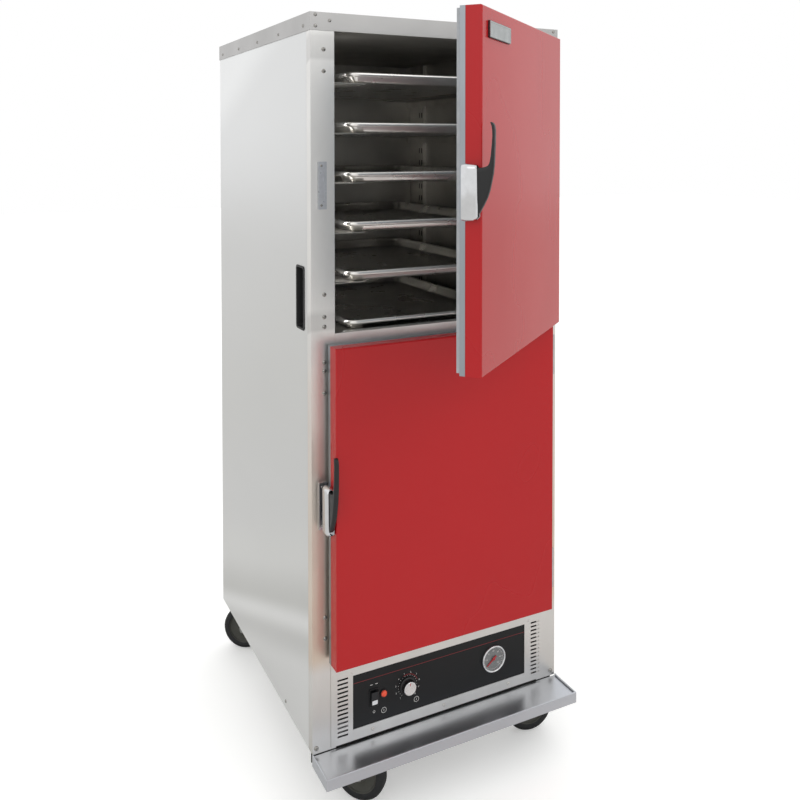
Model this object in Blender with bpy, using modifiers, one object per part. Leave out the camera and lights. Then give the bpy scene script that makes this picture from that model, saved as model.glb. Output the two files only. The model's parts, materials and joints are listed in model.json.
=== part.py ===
"""Heated food holding cabinet on casters: two doors, sheet pans on slides, control fascia."""
import bmesh
import bpy
from math import cos, pi, radians, sin
from mathutils import Matrix, Vector

# overall shell, metres; the front plane of the shell is y = 0 and the floor is z = 0
WIDTH = 0.680
DEPTH = 0.790
HEIGHT = 1.851
SHELL_BASE = 0.1533
SKIRT_LOW = 1.810
SHEET = 0.0015
GAP = 0.0003
CENTRE_SHIFT = (-0.004294, -0.175711)

# front posts, middle rail and insulated walls
POST_INNER = 0.2808
POST_FACE = 0.0018
POST_BACK = 0.0270
WALL_INNER = 0.2935
LINER_INNER = 0.2910
RAIL_LOW = 1.078
RAIL_TOP = 1.119
FLOOR_LOW = 0.3635
FLOOR_TOP = 0.381
CEILING = 1.8095
BACK_INNER = 0.7545
BASE_LOW = 0.157

# doors
DOOR_LEFT = -0.3015
DOOR_RIGHT = 0.2906
DOOR_FACE = -0.0558
SKIN_BACK = -0.0215
PANEL_BACK = -0.0100
UPPER_DOOR = (1.1011, 1.8194)
LOWER_DOOR = (0.3647, 1.0964)
UPPER_OPEN = 39.17
PIVOT = (0.2996, -0.0311)
HINGE_HEIGHT = 0.104
UPPER_HINGES = (1.185, 1.743)
LOWER_HINGES = (0.441, 1.005)

# latches
UPPER_LATCH = 1.4595
LOWER_LATCH = 0.727
HOUSING_WIDTH = 0.0200
HOUSING_WALL = 0.0028
SLOT_DEPTH = 0.0120
# latch housing and lever seen along the door: distance out from the door's face, height above the latch's middle
HOUSING_OUTLINE = (
    (-0.0360, -0.0560),
    (-0.0090, -0.0560),
    (-0.0020, -0.0500),
    (0.0043, -0.0340),
    (0.0060, -0.0180),
    (0.0060, -0.0020),
    (0.0032, 0.0150),
    (-0.0020, 0.0315),
    (-0.0055, 0.0560),
    (-0.0360, 0.0560),
)
LEVER_OUTLINE = (
    (-0.0110, 0.0450),
    (-0.0020, 0.0470),
    (0.0090, 0.0478),
    (0.0145, 0.0495),
    (0.0183, 0.0535),
    (0.0209, 0.0615),
    (0.0239, 0.0860),
    (0.0255, 0.1090),
    (0.0250, 0.1240),
    (0.0215, 0.1340),
    (0.0250, 0.1335),
    (0.0290, 0.1280),
    (0.0303, 0.1200),
    (0.0301, 0.0970),
    (0.0288, 0.0560),
    (0.0268, 0.0356),
    (0.0240, 0.0220),
    (0.0201, 0.0044),
    (0.0155, -0.0092),
    (0.0101, -0.0205),
    (0.0048, -0.0300),
    (-0.0005, -0.0400),
    (-0.0040, -0.0425),
    (-0.0080, -0.0400),
    (-0.0095, -0.0340),
    (-0.0105, 0.0100),
)

# slides and sheet pans
SLIDE_TOP = 1.696
SLIDE_PITCH = 0.1165
SLIDE_COUNT = 12
SLIDE_EDGE = 0.190
SLIDE_FRONT = 0.0300
SLIDE_BACK = 0.7500
PAN_WIDTH = 0.457
PAN_LENGTH = 0.660
PAN_DEPTH = 0.025
PAN_RIM = 0.008
PAN_SLOPE = 0.013
PAN_SHEET = 0.0016
PAN_FRONTS = (0.013, 0.020, 0.021, 0.027, 0.022, 0.0285)
PAN_MIDDLE = -0.0115

# control fascia
FASCIA_HALF = 0.2934
FASCIA_LOW = 0.1570
FASCIA_TOP = 0.3632
FASCIA_BACK = 0.0015
PANEL_BOX = (-0.2385, 0.2425, 0.1830, 0.3112)
VENT_COUNT = 14
VENT_TOP = 0.3112
VENT_PITCH = 0.0102
VENT_WIDTH = 0.0265
VENT_X = (-0.2641, 0.2752)
KNOB = (-0.0951, 0.2461)
SWITCH = (-0.1838, 0.2430)
LAMP = (-0.1585, 0.2461)
DIAL = (0.1475, 0.2481)

# casters
SWIVEL_X = 0.240
SWIVEL_Y = (0.0530, 0.7410)
WHEEL_RADIUS = 0.0635
WHEEL_HALF = 0.016
TRAIL = 0.045
TRAIL_ANGLES = {"front_left": -48.0, "front_right": -10.0, "rear_left": 143.0, "rear_right": 20.0}

PARTS = "food_holding_cabinet"
CUTTERS = "cutters"


def clear_scene():
    for item in list(bpy.data.objects):
        bpy.data.objects.remove(item, do_unlink=True)


def collection(name):
    group = bpy.data.collections.new(name)
    bpy.context.scene.collection.children.link(group)
    return group


def material(name, colour, roughness, metallic):
    mat = bpy.data.materials.new(name)
    mat.use_nodes = True
    shader = mat.node_tree.nodes["Principled BSDF"]
    shader.inputs["Base Color"].default_value = (*colour, 1.0)
    shader.inputs["Roughness"].default_value = roughness
    shader.inputs["Metallic"].default_value = metallic
    mat.diffuse_color = (*colour, 1.0)
    return mat


def append_mesh(bm, data, matrix):
    """Adds a mesh made by a curve or a modifier to a piece, with its seams welded, and drops the source."""
    piece = bmesh.new()
    piece.from_mesh(data)
    bmesh.ops.remove_doubles(piece, verts=piece.verts[:], dist=0.00001)
    piece.transform(matrix)
    piece.to_mesh(data)
    piece.free()
    bm.from_mesh(data)
    bpy.data.meshes.remove(data)


def evaluated_mesh(item):
    bpy.context.view_layer.update()
    graph = bpy.context.evaluated_depsgraph_get()
    data = bpy.data.meshes.new_from_object(item.evaluated_get(graph))
    bpy.data.objects.remove(item, do_unlink=True)
    return data


def box(bm, x0, x1, y0, y1, z0, z1):
    """One block between two corners."""
    middle = Matrix.Translation(((x0 + x1) / 2, (y0 + y1) / 2, (z0 + z1) / 2))
    size = Matrix.Diagonal((x1 - x0, y1 - y0, z1 - z0, 1.0))
    bmesh.ops.create_cube(bm, size=1.0, matrix=middle @ size)


def prism(bm, outline, axis, low, high):
    """A filled outline extruded along an axis: x takes (y, z), y takes (x, z), z takes (x, y)."""
    curve = bpy.data.curves.new("outline", "CURVE")
    curve.dimensions = "2D"
    curve.fill_mode = "BOTH"
    curve.extrude = (high - low) / 2
    spline = curve.splines.new("POLY")
    spline.points.add(len(outline) - 1)
    for point, (a, b) in zip(spline.points, outline):
        point.co = (a, b, 0.0, 1.0)
    spline.use_cyclic_u = True
    item = bpy.data.objects.new("outline", curve)
    bpy.context.scene.collection.objects.link(item)
    middle = (low + high) / 2
    place = {
        "x": Matrix(((0, 0, 1, middle), (1, 0, 0, 0), (0, 1, 0, 0), (0, 0, 0, 1))),
        "y": Matrix(((1, 0, 0, 0), (0, 0, -1, middle), (0, 1, 0, 0), (0, 0, 0, 1))),
        "z": Matrix.Translation((0, 0, middle)),
    }[axis]
    append_mesh(bm, evaluated_mesh(item), place)


def arc(cx, cy, radius, start, end, steps):
    points = []
    for i in range(steps + 1):
        turn = radians(start + (end - start) * i / steps)
        points.append((cx + radius * cos(turn), cy + radius * sin(turn)))
    return points


def circle(cx, cy, radius, steps):
    return arc(cx, cy, radius, 0, 360.0 * (steps - 1) / steps, steps - 1)


def lathe(bm, profile, centre, direction, steps):
    """Profile of (distance along the axis, radius) turned round an axis by a Screw modifier."""
    outline = bmesh.new()
    points = [outline.verts.new((radius, 0.0, along)) for along, radius in profile]
    pairs = list(zip(points, points[1:]))
    if profile[0][1] and profile[-1][1]:
        pairs.append((points[-1], points[0]))
    for pair in pairs:
        outline.edges.new(pair)
    data = bpy.data.meshes.new("profile")
    outline.to_mesh(data)
    outline.free()
    item = bpy.data.objects.new("profile", data)
    bpy.context.scene.collection.objects.link(item)
    turned = item.modifiers.new("turned", "SCREW")
    turned.axis = "Z"
    turned.steps = steps
    turned.render_steps = steps
    turned.use_merge_vertices = True
    turned.merge_threshold = 0.00001
    turn = Vector(direction).to_track_quat("Z", "Y").to_matrix().to_4x4()
    append_mesh(bm, evaluated_mesh(item), Matrix.Translation(centre) @ turn)


class Piece:
    """Builds one named solid in cabinet coordinates and hangs it on its axis."""

    def __init__(self, name, mat, axis=None):
        self.name = name
        self.mat = mat
        self.axis = axis
        self.mesh = bmesh.new()
        self.tools = []

    def tool(self, operation):
        mesh = bmesh.new()
        self.tools.append((operation, mesh))
        return mesh

    def bevel(self, edges, width, segments):
        bmesh.ops.bevel(
            self.mesh, geom=edges, offset=width, segments=segments, affect="EDGES", profile=0.5
        )

    def finish(self):
        origin = Vector(self.axis["origin"]) if self.axis else Vector((0, 0, 0))
        main = self.linked(self.name, self.mesh, origin, PIECES)
        main.data.materials.append(self.mat)
        main.parent = self.axis["empty"] if self.axis else ROOT
        for number, (operation, mesh) in enumerate(self.tools):
            tool = self.linked(f"{self.name}_tool_{number}", mesh, origin, TOOLS)
            tool.data.materials.append(self.mat)
            tool.parent = main.parent
            tool.hide_render = True
            tool.display_type = "WIRE"
            step = main.modifiers.new(f"{operation.lower()}_{number}", "BOOLEAN")
            step.operation = operation
            step.solver = "EXACT"
            step.object = tool
        return main

    @staticmethod
    def linked(name, mesh, origin, group):
        bmesh.ops.recalc_face_normals(mesh, faces=mesh.faces[:])
        bmesh.ops.translate(mesh, verts=mesh.verts[:], vec=-origin)
        data = bpy.data.meshes.new(name)
        mesh.to_mesh(data)
        mesh.free()
        data.shade_smooth()
        data.set_sharp_from_angle(angle=radians(32))
        item = bpy.data.objects.new(name, data)
        group.objects.link(item)
        return item


def axis_at(name, origin, parent=None, turn=0.0):
    """An empty on a joint axis; pieces hung on it are drawn in cabinet coordinates with the joint at zero."""
    empty = bpy.data.objects.new(name, None)
    empty.empty_display_size = 0.03
    PIECES.objects.link(empty)
    empty.parent = parent["empty"] if parent else ROOT
    base = Vector(parent["origin"]) if parent else Vector((0, 0, 0))
    empty.location = Vector(origin) - base
    empty.rotation_euler = (0, 0, turn)
    return {"empty": empty, "origin": tuple(origin)}


def panel(name, mat, x0, x1, y0, y1, z0, z1, axis=None):
    piece = Piece(name, mat, axis)
    box(piece.mesh, x0, x1, y0, y1, z0, z1)
    return piece


clear_scene()
PIECES = collection(PARTS)
TOOLS = collection(CUTTERS)
ROOT = bpy.data.objects.new("cabinet_root", None)
ROOT.location = (CENTRE_SHIFT[0], CENTRE_SHIFT[1], 0)
PIECES.objects.link(ROOT)

ALUMINIUM = material("satin_aluminium", (0.60, 0.61, 0.60), 0.32, 1.0)
TOP_ALUMINIUM = material("cap_aluminium", (0.62, 0.63, 0.62), 0.30, 1.0)
PANEL_ALUMINIUM = material("door_inner_aluminium", (0.52, 0.53, 0.53), 0.35, 1.0)
LINER = material("stainless_liner", (0.38, 0.37, 0.35), 0.30, 1.0)
SLIDES = material("stainless_slides", (0.55, 0.55, 0.54), 0.28, 1.0)
PANS = material("pan_aluminium", (0.58, 0.58, 0.58), 0.38, 1.0)
BASE = material("galvanised_steel", (0.45, 0.46, 0.47), 0.45, 1.0)
RED = material("red_door_enamel", (0.40, 0.020, 0.024), 0.22, 0.0)
GASKET = material("gasket_silicone", (0.02, 0.02, 0.02), 0.75, 0.0)
CHROME = material("polished_chrome", (0.72, 0.73, 0.74), 0.08, 1.0)
LEVER = material("black_nylon", (0.018, 0.018, 0.020), 0.42, 0.0)
HINGES = material("hinge_steel", (0.56, 0.56, 0.56), 0.28, 1.0)
BLACK = material("control_overlay", (0.012, 0.012, 0.013), 0.35, 0.0)
KNOB_MAT = material("knob_plastic", (0.03, 0.03, 0.03), 0.40, 0.0)
ROCKER = material("rocker_plastic", (0.015, 0.015, 0.016), 0.30, 0.0)
AMBER = material("amber_lens", (0.75, 0.13, 0.05), 0.20, 0.0)
CASE = material("thermometer_steel", (0.62, 0.62, 0.62), 0.20, 1.0)
NEEDLE = material("needle_red", (0.55, 0.03, 0.02), 0.45, 0.0)
ELEMENT = material("element_sheath", (0.12, 0.11, 0.10), 0.55, 1.0)
BLOWER = material("blower_steel", (0.40, 0.41, 0.42), 0.45, 1.0)
GLAND = material("gland_nylon", (0.03, 0.03, 0.03), 0.55, 0.0)
FORK = material("zinc_plated_steel", (0.46, 0.47, 0.48), 0.35, 1.0)
TYRE = material("wheel_polyurethane", (0.012, 0.012, 0.014), 0.60, 0.0)


def build_shell():
    for side, name in ((-1, "left"), (1, "right")):
        outer = side * (WIDTH / 2 - SHEET - GAP)
        x0, x1 = sorted((outer, side * POST_INNER))
        post = panel(f"{name}_front_post", ALUMINIUM, x0, x1, POST_FACE, POST_BACK, SHELL_BASE, HEIGHT - 0.0028)
        post.finish()
        x0, x1 = sorted((outer, side * WALL_INNER))
        wall = panel(
            f"{name}_side_panel", ALUMINIUM, x0, x1, POST_BACK + GAP, DEPTH - 0.0018, SHELL_BASE, HEIGHT - 0.0028
        )
        grip = wall.tool("DIFFERENCE")
        x0, x1 = sorted((side * 0.315, side * 0.360))
        box(grip, x0, x1, 0.0495, 0.0958, 1.1255, 1.2675)
        wall.finish()
        x0, x1 = sorted((side * (WALL_INNER - GAP - 0.0002), side * LINER_INNER))
        panel(
            f"{name}_liner", LINER, x0, x1, POST_BACK + GAP, BACK_INNER - GAP, FLOOR_LOW, HEIGHT - 0.0030
        ).finish()
    back_half = WALL_INNER - GAP
    panel("rear_panel", ALUMINIUM, -back_half, back_half, 0.7563, DEPTH - 0.0018, 0.1885, HEIGHT - 0.0028).finish()
    panel("rear_liner", LINER, -back_half, back_half, BACK_INNER, 0.7560, 0.1885, HEIGHT - 0.0030).finish()
    half = POST_INNER - GAP
    panel("middle_rail", ALUMINIUM, -half, half, POST_FACE, POST_BACK, RAIL_LOW, RAIL_TOP).finish()
    floor = panel("floor_panel", LINER, -half, half, POST_FACE, BACK_INNER - GAP, FLOOR_LOW, FLOOR_TOP)
    floor.finish()
    panel("ceiling_panel", LINER, -half, half, POST_FACE, BACK_INNER - GAP, CEILING, HEIGHT - 0.0030).finish()

    cap = panel("top_cap", TOP_ALUMINIUM, -WIDTH / 2, WIDTH / 2, 0.0, DEPTH, SKIRT_LOW, HEIGHT)
    inside = cap.tool("DIFFERENCE")
    rim = WIDTH / 2 - SHEET
    box(inside, -rim, rim, SHEET, DEPTH - SHEET, SKIRT_LOW - 0.01, HEIGHT - 0.0025)
    cap.finish()

    base = Piece("base_frame", BASE)
    box(base.mesh, -0.2930, 0.2930, 0.0300, 0.7880, BASE_LOW, 0.1870)
    hollow = base.tool("DIFFERENCE")
    box(hollow, -0.2900, 0.2900, 0.0330, 0.7850, BASE_LOW + 0.003, 0.2000)
    plates = base.tool("UNION")
    for x in (-SWIVEL_X, SWIVEL_X):
        for y in SWIVEL_Y:
            box(plates, x - 0.035, x + 0.035, y - 0.035, y + 0.035, 0.1515, BASE_LOW + 0.001)
    base.finish()

    tray = panel("drip_tray", ALUMINIUM, -WIDTH / 2, WIDTH / 2, -0.0916, -GAP, 0.1292, 0.1557)
    pockets = tray.tool("DIFFERENCE")
    edge = WIDTH / 2 - 0.0018
    box(pockets, -edge, edge, -0.0898, 0.01, 0.1515, 0.17)
    box(pockets, -edge, edge, -0.0898, -0.0021, 0.11, 0.1497)
    tray.finish()


def build_fascia():
    fascia = panel("fascia", ALUMINIUM, -FASCIA_HALF, FASCIA_HALF, 0.0, FASCIA_BACK, FASCIA_LOW, FASCIA_TOP)
    holes = fascia.tool("DIFFERENCE")
    x0, x1, z0, z1 = PANEL_BOX
    box(holes, x0, x1, -0.01, 0.01, z0, z1)
    for x in VENT_X:
        for row in range(VENT_COUNT):
            z = VENT_TOP - row * VENT_PITCH
            box(holes, x - VENT_WIDTH / 2, x + VENT_WIDTH / 2, -0.01, 0.01, z - 0.0041, z)
    fascia.finish()
    x0, x1, z0, z1 = PANEL_BOX
    panel(
        "control_panel", BLACK, x0 - 0.006, x1 + 0.006, FASCIA_BACK + GAP, 0.0045, z0 - 0.006, z1 + 0.006
    ).finish()

    face = FASCIA_BACK + GAP
    front = (0, -1, 0)
    knob_axis = axis_at("knob_axis", (KNOB[0], face, KNOB[1]))
    knob = Piece("thermostat_knob", KNOB_MAT, knob_axis)
    profile = [(GAP, 0), (GAP, 0.0205), (0.0030, 0.0205), (0.0045, 0.0175), (0.0150, 0.0165)]
    profile += [(0.0165, 0.0150), (0.0165, 0)]
    lathe(knob.mesh, profile, (KNOB[0], face, KNOB[1]), front, 32)
    knob.finish()

    rocker_axis = axis_at("rocker_axis", (SWITCH[0], face - 0.0045, SWITCH[1]))
    rocker = Piece("power_switch", ROCKER, rocker_axis)
    outline = [(-0.0006, 0.0), (-0.0040, 0.0165), (-0.0085, 0.0175), (-0.0065, 0.0), (-0.0055, -0.0175)]
    outline += [(-0.0040, -0.0165)]
    shape = [(face + y, SWITCH[1] + z) for y, z in outline]
    prism(rocker.mesh, shape, "x", SWITCH[0] - 0.0095, SWITCH[0] + 0.0095)
    rocker.finish()

    lamp = Piece("pilot_lamp", AMBER)
    profile = [(GAP, 0), (GAP, 0.0088), (0.0018, 0.0088), (0.0022, 0.0070), (0.0045, 0.0066)]
    profile += [(0.0064, 0.0045), (0.0070, 0)]
    lathe(lamp.mesh, profile, (LAMP[0], face, LAMP[1]), front, 24)
    lamp.finish()

    case = Piece("thermometer_case", CASE)
    profile = [(GAP, 0), (GAP, 0.0335), (0.0060, 0.0335), (0.0078, 0.0320), (0.0078, 0.0300)]
    profile += [(0.0020, 0.0290), (0.0020, 0.0030), (0.0034, 0.0030), (0.0034, 0)]
    lathe(case.mesh, profile, (DIAL[0], face, DIAL[1]), front, 36)
    case.finish()
    needle_axis = axis_at("needle_axis", (DIAL[0], face, DIAL[1]))
    needle = Piece("thermometer_needle", NEEDLE, needle_axis)
    turn = radians(128.0)
    outline = [(-0.0010, 0.0255), (-0.0020, 0.0), (-0.0022, -0.0090), (0.0022, -0.0090), (0.0020, 0.0)]
    outline += [(0.0010, 0.0255)]
    shape = [
        (DIAL[0] + a * cos(turn) - b * sin(turn), DIAL[1] + a * sin(turn) + b * cos(turn)) for a, b in outline
    ]
    prism(needle.mesh, shape, "y", face - 0.0050, face - 0.0038)
    needle.finish()

    element = Piece("heating_element", ELEMENT)
    ring = [(0.004 * sin(a * pi / 4), 0.080 + 0.004 * cos(a * pi / 4)) for a in range(8)]
    lathe(element.mesh, ring, (0.0, 0.400, 0.320), (0, 0, 1), 32)
    element.finish()
    fan_axis = axis_at("blower_axis", (0.0, 0.400, 0.270))
    fan = Piece("blower_wheel", BLOWER, fan_axis)
    outline = []
    for blade in range(10):
        start = 36.0 * blade
        for angle, radius in ((0, 0.022), (4, 0.055), (10, 0.057), (14, 0.022)):
            outline.append((radius * cos(radians(start + angle)), 0.400 + radius * sin(radians(start + angle))))
    prism(fan.mesh, outline, "z", 0.255, 0.285)
    fan.finish()
    gland = Piece("cord_gland", GLAND)
    profile = [(GAP, 0), (GAP, 0.016), (0.004, 0.016), (0.004, 0.011), (0.018, 0.009), (0.018, 0.006)]
    profile += [(0.010, 0.006), (0.010, 0)]
    lathe(gland.mesh, profile, (0.200, DEPTH - 0.0018, 0.260), (0, 1, 0), 20)
    gland.finish()


def build_door(prefix, low, high, latch, hinges, axis):
    skin = panel(f"{prefix}_door_skin", RED, DOOR_LEFT, DOOR_RIGHT, DOOR_FACE, SKIN_BACK - GAP, low, high, axis)
    edges = [e for e in skin.mesh.edges if all(v.co.y < DOOR_FACE + 1e-5 for v in e.verts)]
    skin.bevel(edges, 0.0030, 3)
    skin.finish()
    panel(
        f"{prefix}_door_panel", PANEL_ALUMINIUM, DOOR_LEFT, DOOR_RIGHT, SKIN_BACK, PANEL_BACK, low, high, axis
    ).finish()

    seal = Piece(f"{prefix}_door_gasket", GASKET, axis)
    left, right = DOOR_LEFT + 0.0092, DOOR_RIGHT + 0.0005 - 0.0060
    box(seal.mesh, left, right, PANEL_BACK + GAP, -GAP, low + 0.0030, high - 0.0030)
    middle = seal.tool("DIFFERENCE")
    box(middle, left + 0.013, right - 0.0038, -0.02, 0.02, low + 0.0160, high - 0.0125)
    seal.finish()

    build_latch(prefix, latch, axis)

    for z, place in zip(hinges, ("lower", "upper")):
        build_hinge(f"{prefix}_door_{place}_hinge", z, axis)


def build_latch(prefix, latch, axis):
    edge = DOOR_LEFT - GAP
    outer = edge - HOUSING_WIDTH
    body = Piece(f"{prefix}_latch_body", CHROME, axis)
    outline = [(DOOR_FACE - d, latch + z) for d, z in HOUSING_OUTLINE]
    prism(body.mesh, outline, "x", outer, edge)
    slot = body.tool("DIFFERENCE")
    box(slot, outer + HOUSING_WALL, edge - HOUSING_WALL, -0.0700, DOOR_FACE + SLOT_DEPTH, latch - 0.046, latch + 0.050)
    body.finish()

    hub = (DOOR_FACE + 0.0015, latch - 0.0360)
    middle = (outer + edge) / 2
    lever_axis = axis_at(f"{prefix}_lever_axis", (middle, hub[0], hub[1]), axis)
    lever = Piece(f"{prefix}_latch_lever", LEVER, lever_axis)
    outline = [(DOOR_FACE - d, latch + z) for d, z in LEVER_OUTLINE]
    prism(lever.mesh, outline, "x", outer + HOUSING_WALL + 0.0005, edge - HOUSING_WALL - 0.0005)
    lever.finish()

    strike = Piece(f"{prefix}_strike", CHROME)
    box(strike.mesh, -0.3220, -0.3020, -0.0040, POST_FACE - GAP, latch - 0.0540, latch + 0.0540)
    hole = strike.tool("DIFFERENCE")
    box(hole, -0.3170, -0.3070, -0.0060, -0.0012, latch - 0.0300, latch + 0.0300)
    strike.finish()


def build_hinge(name, z, axis):
    x, y = PIVOT
    low, high = z - HINGE_HEIGHT / 2, z + HINGE_HEIGHT / 2
    third = HINGE_HEIGHT / 3
    frame = Piece(f"{name}_frame_leaf", HINGES)
    outline = [(x - 0.002, y + 0.0060), (x + 0.002, y + 0.0060), (x + 0.002, -0.0015), (0.3330, -0.0015)]
    outline += [(0.3330, POST_FACE - GAP), (x - 0.002, POST_FACE - GAP)]
    prism(frame.mesh, outline, "z", low, high)
    knuckles = frame.tool("UNION")
    keyhole = [(x + 0.0015, y + 0.0070), (x - 0.0015, y + 0.0070)] + arc(x, y, 0.0055, 105, 435, 14)
    prism(knuckles, keyhole, "z", low, low + third)
    prism(knuckles, keyhole, "z", high - third, high)
    pin = frame.tool("UNION")
    prism(pin, circle(x, y, 0.0025, 12), "z", low + 0.001, high - 0.001)
    frame.finish()

    leaf = Piece(f"{name}_door_leaf", HINGES, axis)
    edge = DOOR_RIGHT + GAP
    box(leaf.mesh, edge, edge + 0.0020, DOOR_FACE + 0.0060, PANEL_BACK - 0.0040, low, high)
    knuckle = leaf.tool("UNION")
    keyhole = [(edge + 0.0010, y + 0.0015), (edge + 0.0010, y - 0.0015)] + arc(x, y, 0.0055, 195, 525, 14)
    prism(knuckle, keyhole, "z", low + third + GAP, high - third - GAP)
    bore = leaf.tool("DIFFERENCE")
    prism(bore, circle(x, y, 0.0030, 12), "z", low - 0.01, high + 0.01)
    leaf.finish()


def build_rack(name, side):
    rack = Piece(name, SLIDES)
    wall = LINER_INNER - GAP
    for level in range(SLIDE_COUNT):
        top = SLIDE_TOP - level * SLIDE_PITCH
        outline = [(side * SLIDE_EDGE, top), (side * (wall - 0.010), top), (side * (wall - 0.010), top - 0.020)]
        outline += [(side * (wall - 0.0118), top - 0.020), (side * (wall - 0.0118), top - 0.0018)]
        outline += [(side * SLIDE_EDGE, top - 0.0018)]
        prism(rack.mesh, outline, "y", SLIDE_FRONT, SLIDE_BACK)
    uprights = rack.tool("UNION")
    for y in (0.070, 0.375, 0.640):
        x0, x1 = sorted((side * (wall - 0.0105), side * wall))
        box(uprights, x0, x1, y, y + 0.036, FLOOR_TOP + GAP, CEILING - GAP)
    rack.finish()


def build_pan(number):
    floor = SLIDE_TOP - (number - 1) * SLIDE_PITCH + GAP
    middle = PAN_FRONTS[number - 1] + PAN_LENGTH / 2
    axis = axis_at(f"pan_{number}_axis", (PAN_MIDDLE, middle, floor))
    pan = Piece(f"sheet_pan_{number}", PANS, axis)
    shell = pan.mesh
    width = PAN_WIDTH - 2 * PAN_RIM - PAN_SHEET
    length = PAN_LENGTH - 2 * PAN_RIM - PAN_SHEET
    depth = PAN_DEPTH - PAN_SHEET
    centre = Vector((PAN_MIDDLE, middle, floor + PAN_DEPTH / 2))
    bmesh.ops.create_cube(
        shell, size=1.0, matrix=Matrix.Translation(centre) @ Matrix.Diagonal((width, length, depth, 1.0))
    )
    for vert in shell.verts:
        if vert.co.z < centre.z:
            vert.co.x = PAN_MIDDLE + (vert.co.x - PAN_MIDDLE) * (1 - 2 * PAN_SLOPE / width)
            vert.co.y = middle + (vert.co.y - middle) * (1 - 2 * PAN_SLOPE / length)
    upright = [e for e in shell.edges if abs(e.verts[0].co.z - e.verts[1].co.z) > depth / 2]
    pan.bevel(upright, 0.024, 3)
    lid = [f for f in shell.faces if f.calc_center_median().z > centre.z + depth / 2 - 0.001]
    bmesh.ops.delete(shell, geom=lid, context="FACES_ONLY")
    for outward, drop in ((PAN_RIM, 0.0), (0.0, 0.0060)):
        border = [e for e in shell.edges if e.is_boundary]
        grown = bmesh.ops.extrude_edge_only(shell, edges=border)["geom"]
        for vert in [g for g in grown if isinstance(g, bmesh.types.BMVert)]:
            vert.co.x = PAN_MIDDLE + (vert.co.x - PAN_MIDDLE) * (1 + 2 * outward / width)
            vert.co.y = middle + (vert.co.y - middle) * (1 + 2 * outward / length)
            vert.co.z -= drop
    item = pan.finish()
    sheet = item.modifiers.new("sheet", "SOLIDIFY")
    sheet.thickness = PAN_SHEET
    sheet.offset = 0.0
    sheet.use_even_offset = True


def build_caster(name, x, y, turn):
    angle = radians(turn)
    swivel = axis_at(f"{name}_swivel_axis", (x, y, 0.1512), None, 0.0)
    swivel["empty"].rotation_euler = (0, 0, angle)
    fork = Piece(f"{name}_caster_fork", FORK, swivel)
    lathe(fork.mesh, [(0, 0), (0, 0.020), (0.0010, 0.031), (0.0090, 0.033), (0.0145, 0.026), (0.0145, 0)],
          (x, y, 0.1512), (0, 0, -1), 24)
    axle = (x + TRAIL, y, WHEEL_RADIUS)
    lathe(fork.mesh, [(-0.0215, 0), (-0.0215, 0.0058), (0.0215, 0.0058), (0.0215, 0)], axle, (0, 1, 0), 16)
    legs = fork.tool("UNION")
    outline = [(x - 0.024, 0.1470), (x - 0.020, 0.1240), (x + 0.034, 0.0560), (x + 0.042, 0.0500)]
    outline += [(x + 0.052, 0.0520), (x + 0.056, 0.0640), (x + 0.026, 0.1470)]
    for side in (-1, 1):
        y0, y1 = sorted((y + side * 0.0180, y + side * 0.0210))
        prism(legs, outline, "y", y0, y1)
    fork.finish()
    spin = axis_at(f"{name}_wheel_axis", axle, swivel)
    wheel = Piece(f"{name}_caster_wheel", TYRE, spin)
    half = WHEEL_HALF
    profile = [(-half, 0.0070), (-half, 0.0180), (-half + 0.005, 0.0200), (-half + 0.005, 0.0440)]
    profile += [(-half, 0.0460), (-half + 0.001, 0.0590), (-half + 0.006, WHEEL_RADIUS)]
    profile += [(-a, r) for a, r in reversed(profile)]
    lathe(wheel.mesh, profile, axle, (0, 1, 0), 24)
    wheel.finish()


build_shell()
build_fascia()
UPPER_AXIS = axis_at("upper_door_axis", (*PIVOT, 0.0), None, radians(UPPER_OPEN))
LOWER_AXIS = axis_at("lower_door_axis", (*PIVOT, 0.0))
build_door("upper", *UPPER_DOOR, UPPER_LATCH, UPPER_HINGES, UPPER_AXIS)
build_door("lower", *LOWER_DOOR, LOWER_LATCH, LOWER_HINGES, LOWER_AXIS)
build_rack("left_slide_rack", -1)
build_rack("right_slide_rack", 1)
for pan_number in range(1, len(PAN_FRONTS) + 1):
    build_pan(pan_number)
for depth_name, depth_y in zip(("front", "rear"), SWIVEL_Y):
    for side_name, side_x in (("left", -SWIVEL_X), ("right", SWIVEL_X)):
        caster = f"{depth_name}_{side_name}"
        build_caster(caster, side_x, depth_y, TRAIL_ANGLES[caster])
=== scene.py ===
"""Heated holding cabinet: its finishes, fittings and stage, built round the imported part."""
import json
import math

import bmesh
import bpy
from bpy.props import FloatProperty, FloatVectorProperty, IntProperty, PointerProperty
from mathutils import Matrix, Vector


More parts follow.
